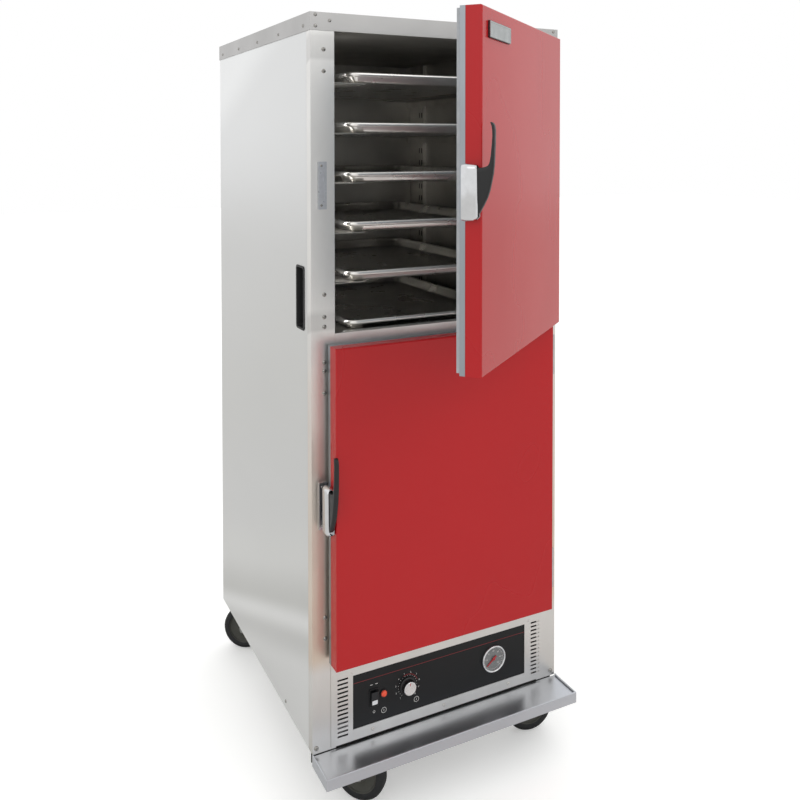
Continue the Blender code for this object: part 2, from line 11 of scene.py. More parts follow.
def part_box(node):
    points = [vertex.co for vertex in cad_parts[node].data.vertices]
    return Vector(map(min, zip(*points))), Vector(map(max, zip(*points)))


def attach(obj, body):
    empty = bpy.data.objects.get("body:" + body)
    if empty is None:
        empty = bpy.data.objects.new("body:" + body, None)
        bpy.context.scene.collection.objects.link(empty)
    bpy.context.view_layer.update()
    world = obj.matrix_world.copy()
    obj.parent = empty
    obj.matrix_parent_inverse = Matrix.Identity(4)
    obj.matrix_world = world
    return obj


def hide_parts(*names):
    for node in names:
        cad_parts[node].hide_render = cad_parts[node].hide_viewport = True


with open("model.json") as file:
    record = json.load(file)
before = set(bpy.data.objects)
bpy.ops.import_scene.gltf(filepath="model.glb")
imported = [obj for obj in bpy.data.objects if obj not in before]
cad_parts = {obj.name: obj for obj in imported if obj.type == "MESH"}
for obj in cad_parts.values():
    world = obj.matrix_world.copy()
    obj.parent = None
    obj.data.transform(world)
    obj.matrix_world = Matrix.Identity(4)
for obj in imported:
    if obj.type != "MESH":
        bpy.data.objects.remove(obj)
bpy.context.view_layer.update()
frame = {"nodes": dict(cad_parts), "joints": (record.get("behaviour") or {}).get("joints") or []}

bl_info = {
    "name": "Holding Cabinet Finishes",
    "version": (1, 0, 0),
    "blender": (4, 5, 0),
    "location": "View3D > Sidebar > Cabinet",
    "description": "Finishes and fittings for a heated food holding cabinet",
    "category": "Object",
}

# ---- places on the cabinet

CAP_LOW, CAP_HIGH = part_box("top_cap")
MIDDLE_X = (CAP_LOW.x + CAP_HIGH.x) / 2
FRONT_Y = CAP_LOW.y
JOINTS = {joint["name"]: joint for joint in frame["joints"]}
NO_MOVE = Matrix.Identity(4)
UP = Vector((0, 0, 1))
TO_FRONT = Vector((0, -1, 0))
TO_BACK = Vector((0, 1, 0))
TO_LEFT = Vector((-1, 0, 0))
TO_RIGHT = Vector((1, 0, 0))
SIDES = (("left", 0, TO_LEFT), ("right", 1, TO_RIGHT))  # name, which end of a box, way out
CASTERS = ("front_left", "front_right", "rear_left", "rear_right")
DOOR_OPENING = math.radians(39.17)


def at(x, y, z):
    """A point measured from the cabinet's middle, its front plane and the floor."""
    return Vector((MIDDLE_X + x, FRONT_Y + y, z))


def swung(joint, angle):
    """How a door drawn shut moves when it opens by an angle."""
    hinge = Vector(JOINTS[joint]["pos_m"])
    return Matrix.Translation(hinge) @ Matrix.Rotation(angle, 4, "Z") @ Matrix.Translation(-hinge)


DOOR_SWING = {"upper": swung("upper_door_hinge", DOOR_OPENING), "lower": NO_MOVE}


def facing(origin, normal, up=UP):
    """A frame on a surface: first axis to the viewer's right, second up, third out of it."""
    out = Vector(normal).normalized()
    right = Vector(up).cross(out).normalized()
    top = out.cross(right)
    turn = Matrix((right, top, out)).transposed().to_4x4()
    return Matrix.Translation(origin) @ turn


def on_front(x, z, y):
    """A frame on a plane that faces the front, x from the cabinet's middle."""
    return facing(Vector((MIDDLE_X + x, y, z)), TO_FRONT)


def on_side(x, y, z, out):
    """A frame on a plane that faces sideways, y behind the cabinet's front."""
    return facing(Vector((x, FRONT_Y + y, z)), out)


# ---- colours and nodes


def hex_colour(code):
    """An sRGB hex colour as the linear colour that a shader takes."""
    parts = [int(code[i : i + 2], 16) / 255 for i in (1, 3, 5)]
    linear = [c / 12.92 if c <= 0.04045 else ((c + 0.055) / 1.055) ** 2.4 for c in parts]
    return (*linear, 1.0)


def put(tree, kind, inputs=None, **settings):
    """Adds one node: settings are its properties, inputs are values or sockets to link."""
    made = tree.nodes.new(kind)
    for key, value in settings.items():
        setattr(made, key, value)
    for key, value in (inputs or {}).items():
        if isinstance(value, bpy.types.NodeSocket):
            tree.links.new(value, made.inputs[key])
        else:
            made.inputs[key].default_value = value
    return made


# ---- finishes

# how a pattern is stretched along x, y and z: a small number draws it out that way
EVEN = (1, 1, 1)
UPRIGHT = (1, 1, 0.012)
ACROSS = (0.012, 1, 1)
BACKWARDS = (1, 0.06, 1)
CLOUD_RANGE = {"From Min": 0.2, "From Max": 0.8}  # the part of a noise that its values fill
BAND_LEAN = 0.38  # metres that the soft bands drop for each metre towards the back
BAND_SPAN = 2.0  # metres of height that their ramp covers
GRAIN_RISE = 0.00005  # metres


def surface(name, tone, shade, metallic, rough, cloud, grain, lift, bands=(), **constants):
    """A material whose colour and roughness drift in soft clouds over a fine raised grain.

    The tone is a hex colour or the name of a colour in the settings, and shade is how dark the
    clouds make it. cloud and grain are a size in mm and a stretch. lift is the grain's bump.
    bands are (height, hex colour) pairs: painted reflections as soft tints from the floor up, lower at
    the back.
    """
    finish = bpy.data.materials.new(name)
    finish.use_nodes = True
    tree = finish.node_tree
    shader = tree.nodes["Principled BSDF"]
    for key, value in {"Metallic": metallic, **constants}.items():
        shader.inputs[key.replace("_", " ")].default_value = value
    looks = bpy.context.scene.cabinet_looks
    first = hex_colour(tone) if tone.startswith("#") else tuple(getattr(looks, tone))
    second = (*[channel * shade for channel in first[:3]], 1.0)
    place = put(tree, "ShaderNodeTexCoord").outputs["Object"]
    noises = []
    for size_mm, stretch in (cloud, grain):
        drawn = put(tree, "ShaderNodeMapping", {"Vector": place, "Scale": stretch})
        noise = put(tree, "ShaderNodeTexNoise", {
            "Vector": drawn.outputs[0], "Scale": 1000.0 / size_mm, "Detail": 3.0, "Roughness": 0.5})
        noises.append(noise.outputs["Fac"])
    share = put(tree, "ShaderNodeMapRange", {"Value": noises[0], **CLOUD_RANGE},
                interpolation_type="SMOOTHSTEP")
    mixed = put(tree, "ShaderNodeMix", {"Factor": share.outputs[0], "A": first, "B": second},
                data_type="RGBA")
    colour = mixed.outputs["Result"]
    # The bands multiply painted reflections into the colour, by height.
    if bands:
        level = put(tree, "ShaderNodeVectorMath", {0: place, 1: (0.0, BAND_LEAN, 1.0)},
                    operation="DOT_PRODUCT")
        floor_level = BAND_LEAN * FRONT_Y
        part = put(tree, "ShaderNodeMapRange", {
            "Value": level.outputs["Value"], "From Min": floor_level,
            "From Max": floor_level + BAND_SPAN})
        ramp = put(tree, "ShaderNodeValToRGB", {"Fac": part.outputs[0]})
        ramp.color_ramp.interpolation = "EASE"
        for height, tint in bands:
            stop = ramp.color_ramp.elements.new(height / BAND_SPAN)
            stop.color = hex_colour(tint)
        tinted = put(tree, "ShaderNodeMix", {"Factor": 1.0, "A": colour, "B": ramp.outputs["Color"]},
                     data_type="RGBA", blend_type="MULTIPLY")
        colour = tinted.outputs["Result"]
    tree.links.new(colour, shader.inputs["Base Color"])
    if "Emission_Strength" in constants:
        tree.links.new(colour, shader.inputs["Emission Color"])
    dulled = put(tree, "ShaderNodeMapRange", {
        "Value": noises[0], **CLOUD_RANGE, "To Min": rough[0], "To Max": rough[1]},
        interpolation_type="SMOOTHSTEP")
    tree.links.new(dulled.outputs[0], shader.inputs["Roughness"])
    raised = put(tree, "ShaderNodeBump", {"Height": noises[1], "Strength": lift, "Distance": GRAIN_RISE})
    tree.links.new(raised.outputs[0], shader.inputs["Normal"])
    return finish


# heights in metres, and the tint of the room that the sheet gives back there, painted into its colour as
# reflection
WALL_PAINTED_REFLECTIONS = ((0.15, "#FFFFFF"), (0.34, "#FDFDFD"), (0.41, "#E6E6E5"), (0.455, "#FEFEFE"),
              (0.50, "#E1E1DF"), (0.60, "#F1F1F0"), (0.75, "#EBEBEB"), (1.05, "#E9E9E8"),
              (1.45, "#EDEDED"), (1.85, "#F0F0F0"))
# On the posts, fascia and rail: painted reflections, darker at the foot, warm low down, with two narrow
# grey bands higher up.
POST_PAINTED_REFLECTIONS = ((0.15, "#E4E3E1"), (0.20, "#F0EFEE"), (0.33, "#FAF9F8"), (0.38, "#F6E6D6"),
              (0.70, "#F8EDE2"), (0.98, "#FAF3EF"), (1.125, "#FFFFFF"), (1.132, "#E9E9E9"),
              (1.168, "#E9E9E9"), (1.175, "#FFFFFF"), (1.742, "#FFFFFF"), (1.748, "#EAEAEA"),
              (1.802, "#EAEAEA"), (1.808, "#FFFFFF"))

# name, tone, shade, metallic, roughness from and to, cloud, grain, lift and bands. A grain finer
# than about 1 mm wouldn't show, so each is drawn as coarse as it needs to.
FINISHES = {
    # A belt-brushed satin: fine upright lines, and soft bands of painted reflection up the wall.
    "side sheet": ("Brushed aluminium wall sheet", "wall_metal", 0.97, 1.0, (0.32, 0.36),
                   (420, (1, 0.3, 1)), (1.6, UPRIGHT), 0.05, WALL_PAINTED_REFLECTIONS),
    # The same sheet on the front, a little duller from wiping, with painted reflections in bands.
    "front sheet": ("Brushed aluminium front sheet", "front_metal", 0.93, 1.0, (0.32, 0.40),
                    (70, (1, 1, 0.5)), (1.6, UPRIGHT), 0.08, POST_PAINTED_REFLECTIONS),
    # Brushed along its length. Its grey, darker than the wall sheet's, is painted shade that gives its
    # skirt one flat grey sheen.
    "cap sheet": ("Brushed aluminium cap sheet", "cap_metal", 0.94, 1.0, (0.32, 0.40),
                  (120, EVEN), (1.6, ACROSS), 0.08),
    # Polished enough to mirror what stands over it, streaked along its length.
    "tray sheet": ("Stainless steel tray", "tray_metal", 0.88, 1.0, (0.26, 0.34),
                   (90, (0.3, 1, 1)), (1.6, ACROSS), 0.06),
    # Mill finish as rolled, stained brown-grey by baking.
    "inner sheet": ("Mill aluminium inner lining", "inner_metal", 0.84, 0.85, (0.42, 0.55),
                    (130, EVEN), (3.0, BACKWARDS), 0.10),
    # The same, rubbed brighter by the pans.
    "slide sheet": ("Mill aluminium slides", "inner_metal", 0.80, 1.0, (0.30, 0.42),
                    (60, EVEN), (3.0, BACKWARDS), 0.10),
    # Bright drawn metal, rubbed satin by racks and brushes.
    "pan sheet": ("Drawn aluminium sheet pans", "pan_metal", 0.94, 1.0, (0.26, 0.32),
                  (90, EVEN), (2.0, EVEN), 0.02),
    # Satin and a little bluer than the front, clouded by steam.
    "door back": ("Aluminium door back sheet", "back_metal", 0.92, 1.0, (0.34, 0.42),
                  (160, EVEN), (1.6, UPRIGHT), 0.08),
    # A smooth gloss film with faint orange peel 3 mm across.
    "red skin": ("Red powder coated aluminium", "door_red", 0.92, 0.0, (0.24, 0.30),
                 (420, (1, 1, 0.6)), (3.0, EVEN), 0.03),
    # Mirror-bright with slight finger haze.
    "chrome": ("Chrome plated zinc", "#DCDDDF", 0.92, 1.0, (0.06, 0.15),
               (14, EVEN), (4.0, EVEN), 0.02),
    # Hazier, and scratched grey round the screws.
    "hinge chrome": ("Polished hinge metal", "#C9CACC", 0.84, 1.0, (0.10, 0.20),
                     (14, EVEN), (4.0, EVEN), 0.03),
    # Grey with the cloudy spangle of its plating.
    "zinc": ("Zinc plated steel", "#A9ABA9", 0.62, 1.0, (0.30, 0.46), (7, EVEN), (2.0, EVEN), 0.06),
    # Warm grey and softly bright.
    "screw": ("Nickel plated screws", "#AFADA9", 0.72, 1.0, (0.20, 0.32), (3, EVEN), (1.0, EVEN), 0.04),
    # Fine upright brushing that catches one pale streak.
    "strike": ("Satin stainless strike plate", "#C9CBD0", 0.88, 1.0, (0.26, 0.34),
               (12, EVEN), (1.6, UPRIGHT), 0.05),
    # Glass-filled nylon from a spark-eroded mould: a fine even grain and a soft sheen.
    "nylon": ("Black moulded nylon", "nylon_black", 1.4, 0.0, (0.34, 0.46),
              (18, EVEN), (0.9, EVEN), 0.18),
    # The same, dulled by hands.
    "grip nylon": ("Black moulded grip liner", "nylon_black", 1.3, 0.0, (0.40, 0.55),
                   (18, EVEN), (0.9, EVEN), 0.18),
    # Dull black, greyed a little by dust where it rolls.
    "tyre": ("Black rubber tyre", "#0E0F11", 2.2, 0.0, (0.50, 0.75), (9, EVEN), (1.2, EVEN), 0.20),
    # Waxy, with hardly any shine.
    "hub": ("Grey-black polyolefin wheel hub", "#3A3A34", 1.3, 0.0, (0.40, 0.55),
            (18, EVEN), (0.9, EVEN), 0.15),
    # Soft and matt, with a dusty bloom; its pale grey is partly its own and partly painted light that
    # lifts the shade between door and post.
    "gasket": ("Grey silicone gasket", "#B4B7BB", 0.85, 0.0, (0.45, 0.65),
               (20, EVEN), (1.2, EVEN), 0.15),
    # Flat near-black that paints the shade in slots and gaps, and doesn't shine.
    "slot shade": ("Blackened slot edges", "#121211", 1.3, 0.0, (0.60, 0.75),
                   (10, EVEN), (1.2, EVEN), 0.10),
    # Polyester film: deep black under a fine matt texture, with flat screen inks on it.
    "film": ("Black overlay film", "overlay_black", 1.3, 0.0, (0.34, 0.42),
             (60, EVEN), (0.8, EVEN), 0.08),
    "white ink": ("White printed ink", "#D8D8D6", 0.90, 0.0, (0.35, 0.45),
                  (20, EVEN), (0.8, EVEN), 0.05),
    "red ink": ("Red printed ink", "#7C1A20", 0.85, 0.0, (0.35, 0.45),
                (60, EVEN), (0.8, EVEN), 0.05),
    # Smooth ABS with a soft gloss.
    "white cap": ("White moulded rocker", "#E4E6EA", 0.90, 0.0, (0.25, 0.35),
                  (10, EVEN), (0.9, EVEN), 0.10),
    # A glossy amber lens that glows faintly.
    "lamp": ("Amber lamp lens", "lamp_amber", 0.65, 0.0, (0.12, 0.20),
             (2.2, EVEN), (2.2, EVEN), 0.15),
    # Lacquered plate and enamel: flat colours with a low gloss.
    "face": ("Grey dial face", "#7D7F80", 0.80, 0.0, (0.22, 0.30), (30, EVEN), (0.8, EVEN), 0.05),
    "needle": ("Red enamel needle", "#B4232A", 0.80, 0.0, (0.25, 0.35), (6, EVEN), (0.8, EVEN), 0.05),
    # Spun on a lathe and left bright.
    "knob cap": ("Spun aluminium knob cap", "#E8E8E8", 0.90, 1.0, (0.22, 0.32),
                 (12, EVEN), (0.5, EVEN), 0.05),
    # Scaled by heat, so it is brown-black and dull.
    "heater": ("Oxidised heater sheath", "#4A4642", 0.80, 0.9, (0.40, 0.65),
               (40, EVEN), (2.0, EVEN), 0.10),
    # Brushed along its length, on a backing that shows as a thin dark edge.
    "badge": ("Satin nickel badge plate", "#A9ADAD", 0.80, 1.0, (0.24, 0.34),
              (30, EVEN), (1.6, ACROSS), 0.08),
    "badge edge": ("Dark badge backing", "#2A1416", 0.80, 0.0, (0.40, 0.50),
                   (18, EVEN), (0.9, EVEN), 0.10),
}
SHINE = {
    "red skin": {"IOR": 1.43},
    "lamp": {"IOR": 1.58, "Emission_Strength": 0.35},
    "film": {"IOR": 1.38},
}
made_finishes = {}


def finish_of(key):
    """The finish with that short name, made once."""
    if key not in made_finishes:
        made_finishes[key] = surface(*FINISHES[key], **SHINE.get(key, {}))
    return made_finishes[key]


# ---- shapes


def circle_ring(radius, height, steps):
    """Points round the third axis of a frame."""
    turns = [2 * math.pi * i / steps for i in range(steps)]
    return [(radius * math.cos(turn), radius * math.sin(turn), height) for turn in turns]


def rounded_ring(half_u, half_v, radius, height, steps=5, centre=(0.0, 0.0)):
    """A rectangle with round corners, as points that run anticlockwise."""
    points = []
    for quarter, (su, sv) in enumerate(((1, 1), (-1, 1), (-1, -1), (1, -1))):
        for i in range(steps + 1):
            angle = math.pi / 2 * (quarter + i / steps)
            points.append((centre[0] + su * (half_u - radius) + radius * math.cos(angle),
                           centre[1] + sv * (half_v - radius) + radius * math.sin(angle), height))
    return points


def stepped_rings(half_u, half_v, rows, steps=5):
    """Rounded rings that step in from a rectangle: rows of inset, corner radius and height."""
    return [rounded_ring(half_u - inset, half_v - inset, radius, height, steps)
            for inset, radius, height in rows]


def lofted(bm, rings, place, ends=True, loop=False):
    """A skin over rings of equal length; it is capped at its ends, or joined back to its start."""
    rows = [[bm.verts.new(place @ Vector(point)) for point in ring] for ring in rings]
    pairs = list(zip(rows, rows[1:])) + ([(rows[-1], rows[0])] if loop else [])
    count = len(rings[0])
    for low, high in pairs:
        for i in range(count):
            j = (i + 1) % count
            bm.faces.new((low[i], low[j], high[j], high[i]))
    if ends and not loop:
        bm.faces.new(rows[0][::-1])
        bm.faces.new(rows[-1])


def turned(bm, profile, place, steps=28, loop=False):
    """A turned shape from (radius, height) pairs about the frame's third axis."""
    lofted(bm, [circle_ring(radius, height, steps) for radius, height in profile], place, True, loop)


def pressed_flat(bm, outline, place, thickness):
    """A flat outline given a thickness, starting at the frame's plane."""
    lofted(bm, [[(u, v, 0.0) for u, v in outline], [(u, v, thickness) for u, v in outline]], place)


def screw_head(bm, place, radius):
    """A cross-recessed pan head with a washer face."""
    steps = 24
    rings = []
    for share, rise in ((1.0, 0.0), (1.0, 0.28), (0.94, 0.52), (0.8, 0.74), (0.6, 0.88),
                        (0.45, 0.93), (0.3, 0.95), (0.12, 0.96)):
        ring = []
        for i, (x, y, _) in enumerate(circle_ring(share * radius, 0.0, steps)):
            in_cross = share < 0.2 or (share < 0.62 and i % 6 == 0)
            ring.append((x, y, (rise - (0.42 if in_cross else 0.0)) * radius * 0.62))
        rings.append(ring)
    lofted(bm, rings, place)


def rivet_head(bm, place, radius):
    """A blind rivet's dome with the dimple its mandrel leaves."""
    profile = [(1.0, 0.0), (1.0, 0.10), (0.92, 0.24), (0.74, 0.36), (0.5, 0.43), (0.34, 0.44),
               (0.26, 0.30), (0.1, 0.27)]
    turned(bm, [(radius * r, radius * h) for r, h in profile], place, 20)


def hex_head(bm, place, across, height):
    """A hexagon head with a chamfered top on a round washer face."""
    steps = 24
    washer = across * 0.62
    turned(bm, [(washer, 0.0), (washer, height * 0.16), (across * 0.5, height * 0.17)], place, steps)
    rings = []
    for share, rise in ((1.0, 0.16), (1.0, 0.86), (0.93, 1.0), (0.5, 1.0)):
        ring = []
        for i in range(steps):
            angle = 2 * math.pi * i / steps
            reach = across / 2 / math.cos((angle + math.pi / 6) % (math.pi / 3) - math.pi / 6)
            reach *= share
            ring.append((reach * math.cos(angle), reach * math.sin(angle), rise * height))
        rings.append(ring)
    lofted(bm, rings, place)


def finish_piece(name, bm, finish, body, slot, swing=NO_MOVE, crease=35.0, round_mm=0.0):
    """Turns the mesh into a piece that rides on a body and takes its finish; the slot is not used."""
    bmesh.ops.recalc_face_normals(bm, faces=bm.faces)
    for face in bm.faces:
        face.smooth = True
    mesh = bpy.data.meshes.new(name)
    bm.to_mesh(mesh)
    bm.free()
    mesh.transform(swing)
    mesh.set_sharp_from_angle(angle=math.radians(crease))
    piece = bpy.data.objects.new(name, mesh)
    bpy.context.scene.collection.objects.link(piece)
    mesh.materials.append(finish_of(finish))
    if round_mm:
        edge = piece.modifiers.new("rounded edges", "BEVEL")
        edge.width = round_mm / 1000.0
        edge.segments = 3
        edge.limit_method = "ANGLE"
        edge.angle_limit = math.radians(32)
        edge.harden_normals = True
    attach(piece, body)
    return piece


def lofted_piece(name, rings, place, *rides, loop=False, **looks):
    """A piece that is one lofted shape; the rest is as for finish_piece."""
    bm = bmesh.new()
    lofted(bm, rings, place, loop=loop)
    return finish_piece(name, bm, *rides, **looks)


def turned_piece(name, profile, place, steps, *rides, loop=False, **looks):
    """A piece that is one turned shape; the rest is as for finish_piece."""
    bm = bmesh.new()
    turned(bm, profile, place, steps, loop)
    return finish_piece(name, bm, *rides, **looks)


# ---- settings


COLOUR = {"subtype": "COLOR", "size": 4, "min": 0.0, "max": 1.0}


class CabinetSizes(bpy.types.PropertyGroup):
    """Sizes of the small fittings that the sheet metal carries."""

    rivet_radius: FloatProperty(
        name="Rivet radius", description="Radius of a blind rivet's head", default=0.0042,
        min=0.001, max=0.01, unit="LENGTH")
    screw_radius: FloatProperty(
        name="Screw radius", description="Radius of a post's pan head screw", default=0.0050,
        min=0.001, max=0.01, unit="LENGTH")
    badge_width: FloatProperty(
        name="Badge width", description="Width of the plain badge plate", default=0.133, min=0.02,
        max=0.3, unit="LENGTH")
    badge_height: FloatProperty(
        name="Badge height", description="Height of the plain badge plate", default=0.0335,
        min=0.01, max=0.1, unit="LENGTH")
    badge_thickness: FloatProperty(
        name="Badge thickness", description="How far the badge stands off the door", default=0.005,
        min=0.001, max=0.01, unit="LENGTH")
    dial_numbers: IntProperty(
        name="Dial numbers", description="How many settings the heat dial shows", default=10, min=4,
        max=12)
    floor_size: FloatProperty(
        name="Floor size", description="Side of the studio floor", default=40.0, min=4.0, max=100.0,
        unit="LENGTH")


class CabinetLooks(bpy.types.PropertyGroup):
    """Colours of the cabinet's materials, and the strengths of the studio's lights."""

    door_red: FloatVectorProperty(
        name="Door red", description="Powder coat of both doors", default=hex_colour("#B51319"),
        **COLOUR)
    wall_metal: FloatVectorProperty(
        name="Wall metal", description="Brushed sheet of the walls and the back",
        default=hex_colour("#ECEDED"), **COLOUR)
    front_metal: FloatVectorProperty(
        name="Front metal", description="Brushed sheet of the posts and fascia",
        default=hex_colour("#E8E7E5"), **COLOUR)
    cap_metal: FloatVectorProperty(
        name="Cap metal", description="Brushed sheet of the cap, rail and base",
        default=hex_colour("#B7B6B5"), **COLOUR)
    back_metal: FloatVectorProperty(
        name="Door back", description="Sheet behind the doors", default=hex_colour("#A2A8AE"),
        **COLOUR)
    tray_metal: FloatVectorProperty(
        name="Tray metal", description="Sheet of the drip tray", default=hex_colour("#CDD0D6"),
        **COLOUR)
    inner_metal: FloatVectorProperty(
        name="Inner metal", description="Lining and slides inside", default=hex_colour("#C4C1BB"),
        **COLOUR)
    pan_metal: FloatVectorProperty(
        name="Pan metal", description="Sheet pans", default=hex_colour("#F2F0EC"), **COLOUR)
    nylon_black: FloatVectorProperty(
        name="Black nylon", description="Levers, knob and grip liners",
        default=hex_colour("#0C0D0F"), **COLOUR)
    overlay_black: FloatVectorProperty(
        name="Overlay", description="Film of the control panel", default=hex_colour("#0E0F11"),
        **COLOUR)
    lamp_amber: FloatVectorProperty(
        name="Lamp", description="Lens of the pilot lamp", default=hex_colour("#DC4A2C"), **COLOUR)
    floor_colour: FloatVectorProperty(
        name="Floor", description="Colour of the pale floor", default=hex_colour("#F6F6F5"),
        **COLOUR)
    sky_strength: FloatProperty(
        name="Studio light", description="Strength of the white studio all round", default=1.0,
        min=0.0, max=5.0)
    key_power: FloatProperty(
        name="Key light", description="Power of the large soft light at the left", default=8.0,
        min=0.0, max=1000.0, unit="POWER")
    fill_power: FloatProperty(
        name="Fill light", description="Power of the soft light over the front", default=14.0,
        min=0.0, max=1000.0, unit="POWER")
    inner_power: FloatProperty(
        name="Inner light", description="Power of the slim light behind the left post", default=0.7,
        min=0.0, max=1000.0, unit="POWER")


# ---- camera and stage


class CABINET_OT_camera(bpy.types.Operator):
    """Stand the camera left of the cabinet's front, level with its upper door"""

    bl_idname = "cabinet.camera"
    bl_label = "Camera"

    def execute(self, context):
        data = bpy.data.cameras.new("camera")
        data.lens = 39.476
        data.sensor_width = 36.0
        data.shift_x = -0.0269
        data.shift_y = -0.2876
        camera = bpy.data.objects.new("camera", data)
        camera.location = at(-1.0266, -1.8658, 1.5463)
        camera.rotation_euler = (math.radians(90 - 1.483), 0.0, math.radians(-27.438))
        context.scene.collection.objects.link(camera)
        context.scene.camera = camera
        return {"FINISHED"}


class CABINET_OT_stage(bpy.types.Operator):
    """Lay the pale floor and set the soft studio lights"""

    bl_idname = "cabinet.stage"
    bl_label = "Stage"

    def execute(self, context):
        looks = context.scene.cabinet_looks
        context.scene.view_settings.view_transform = "Standard"
        self.lay_floor(context, looks)
        self.light_studio(context, looks)
        for name, place, aim, size, power in (
            ("key_light", (-2.6, -2.2, 3.2), (0.0, 0.2, 0.9), (2.4, 2.4), looks.key_power),
            ("fill_light", (1.2, -3.4, 3.6), (0.0, 0.0, 0.9), (2.0, 2.0), looks.fill_power),
            ("inner_light", at(-0.265, 0.060, 1.45), at(0.20, 0.55, 1.45), (0.04, 0.62),
             looks.inner_power),
        ):
            self.add_softbox(context, name, place, aim, size, power)
        return {"FINISHED"}

    def lay_floor(self, context, looks):
        """A pale matt floor; only what is looked at straight is washed out to white."""
        finish = bpy.data.materials.new("Pale studio floor")
        finish.use_nodes = True
        tree = finish.node_tree
        shader = tree.nodes["Principled BSDF"]
        shader.inputs["Roughness"].default_value = 0.75
        shader.inputs["Emission Strength"].default_value = 0.32
        place = put(tree, "ShaderNodeTexCoord").outputs["Object"]
        cloud = put(tree, "ShaderNodeTexNoise", {"Vector": place, "Scale": 1.6, "Detail": 2.0})
        pale = put(tree, "ShaderNodeMix", {
            "Factor": cloud.outputs["Fac"], "A": tuple(looks.floor_colour), "B": hex_colour("#F2F2F1")},
            data_type="RGBA")
        tree.links.new(pale.outputs["Result"], shader.inputs["Base Color"])
        tree.links.new(pale.outputs["Result"], shader.inputs["Emission Color"])
        darker = put(tree, "ShaderNodeBsdfDiffuse", {"Color": hex_colour("#E4E3E1")})
        rays = put(tree, "ShaderNodeLightPath")
        joined = put(tree, "ShaderNodeMixShader", {
            0: rays.outputs["Is Camera Ray"], 1: darker.outputs[0], 2: shader.outputs[0]})
        tree.links.new(joined.outputs[0], tree.nodes["Material Output"].inputs["Surface"])
        half = context.scene.cabinet_sizes.floor_size / 2
        bm = bmesh.new()
        square = ((-half, -half), (half, -half), (half, half), (-half, half))
        bm.faces.new([bm.verts.new((x, y, 0.0)) for x, y in square])
        mesh = bpy.data.meshes.new("floor")
        bm.to_mesh(mesh)
        bm.free()
        mesh.materials.append(finish)
        floor = bpy.data.objects.new("floor", mesh)
        context.scene.collection.objects.link(floor)

    def light_studio(self, context, looks):
        """White all round, and greyer towards the room in front of the cabinet."""
        world = bpy.data.worlds.new("studio")
        context.scene.world = world
        world.use_nodes = True
        tree = world.node_tree
        backdrop = tree.nodes["Background"]
        backdrop.inputs["Color"].default_value = (1.0, 1.0, 1.0, 1.0)
        backdrop.inputs["Strength"].default_value = looks.sky_strength
        way = put(tree, "ShaderNodeTexCoord").outputs["Generated"]
        towards = put(tree, "ShaderNodeVectorMath", {0: way, 1: (-0.30, -0.95, 0.05)},
                      operation="DOT_PRODUCT")
        shade = put(tree, "ShaderNodeMapRange", {"Value": towards.outputs["Value"], "From Min": -0.1},
                    interpolation_type="SMOOTHSTEP")
        room = put(tree, "ShaderNodeMix", {"Factor": shade.outputs[0], "A": hex_colour("#FFFFFF"),
                                           "B": hex_colour("#FAFAF9")}, data_type="RGBA")
        seen = put(tree, "ShaderNodeBackground", {
            "Color": room.outputs["Result"], "Strength": looks.sky_strength})
        rays = put(tree, "ShaderNodeLightPath")
        joined = put(tree, "ShaderNodeMixShader", {
            0: rays.outputs["Is Camera Ray"], 1: seen.outputs[0], 2: backdrop.outputs[0]})
        tree.links.new(joined.outputs[0], tree.nodes["World Output"].inputs["Surface"])

    def add_softbox(self, context, name, place, aim, size, power):
        """A soft light of a width and height, which the camera doesn't see."""
        data = bpy.data.lights.new(name, "AREA")
        data.shape = "RECTANGLE"
        data.size, data.size_y = size
        data.energy = power
        light = bpy.data.objects.new(name, data)
        light.location = place
        light.rotation_euler = (Vector(aim) - Vector(place)).to_track_quat("-Z", "Y").to_euler()
        light.visible_camera = False
        context.scene.collection.objects.link(light)


# ---- carried-over parts

CAD_FINISHES = {
    "side sheet": ("left_side_panel", "right_side_panel", "rear_panel"),
    "front sheet": ("left_front_post", "right_front_post", "fascia", "middle_rail"),
    "cap sheet": ("top_cap", "base_frame"),
    "tray sheet": ("drip_tray",),
    "inner sheet": ("left_liner", "right_liner", "rear_liner", "ceiling_panel", "floor_panel"),
    "slide sheet": ("left_slide_rack", "right_slide_rack"),
    "door back": ("upper_door_panel", "lower_door_panel"),
    "red skin": ("upper_door_skin", "lower_door_skin"),
    "gasket": ("upper_door_gasket", "lower_door_gasket"),
    "film": ("control_panel",),
    "heater": ("heating_element",),
    "zinc": ("blower_wheel",),
    "needle": ("thermometer_needle",),
    "face": ("thermometer_case",),
    "lamp": ("pilot_lamp",),
    "nylon": ("power_switch", "thermostat_knob", "cord_gland"),
    "strike": ("upper_strike", "lower_strike"),
}
# for the rest, the first of these words that is in the node's name
LIKE_PARTS = (("hinge", "hinge chrome"), ("fork", "zinc"), ("wheel", "tyre"), ("pan", "pan sheet"),
              ("latch_body", "chrome"), ("", "nylon"))


class CABINET_OT_sheet_metal(bpy.types.Operator):
    """Give every carried-over part its finish"""

    bl_idname = "cabinet.sheet_metal"
    bl_label = "Sheet metal finishes"

    def execute(self, context):
        chosen = {node: key for key, nodes in CAD_FINISHES.items() for node in nodes}
        for name, part in frame["nodes"].items():
            key = chosen.get(name) or next(key for word, key in LIKE_PARTS if word in name)
            part.data.materials.clear()
            part.data.materials.append(finish_of(key))
        return {"FINISHED"}


# ---- rivets, screws and bolts


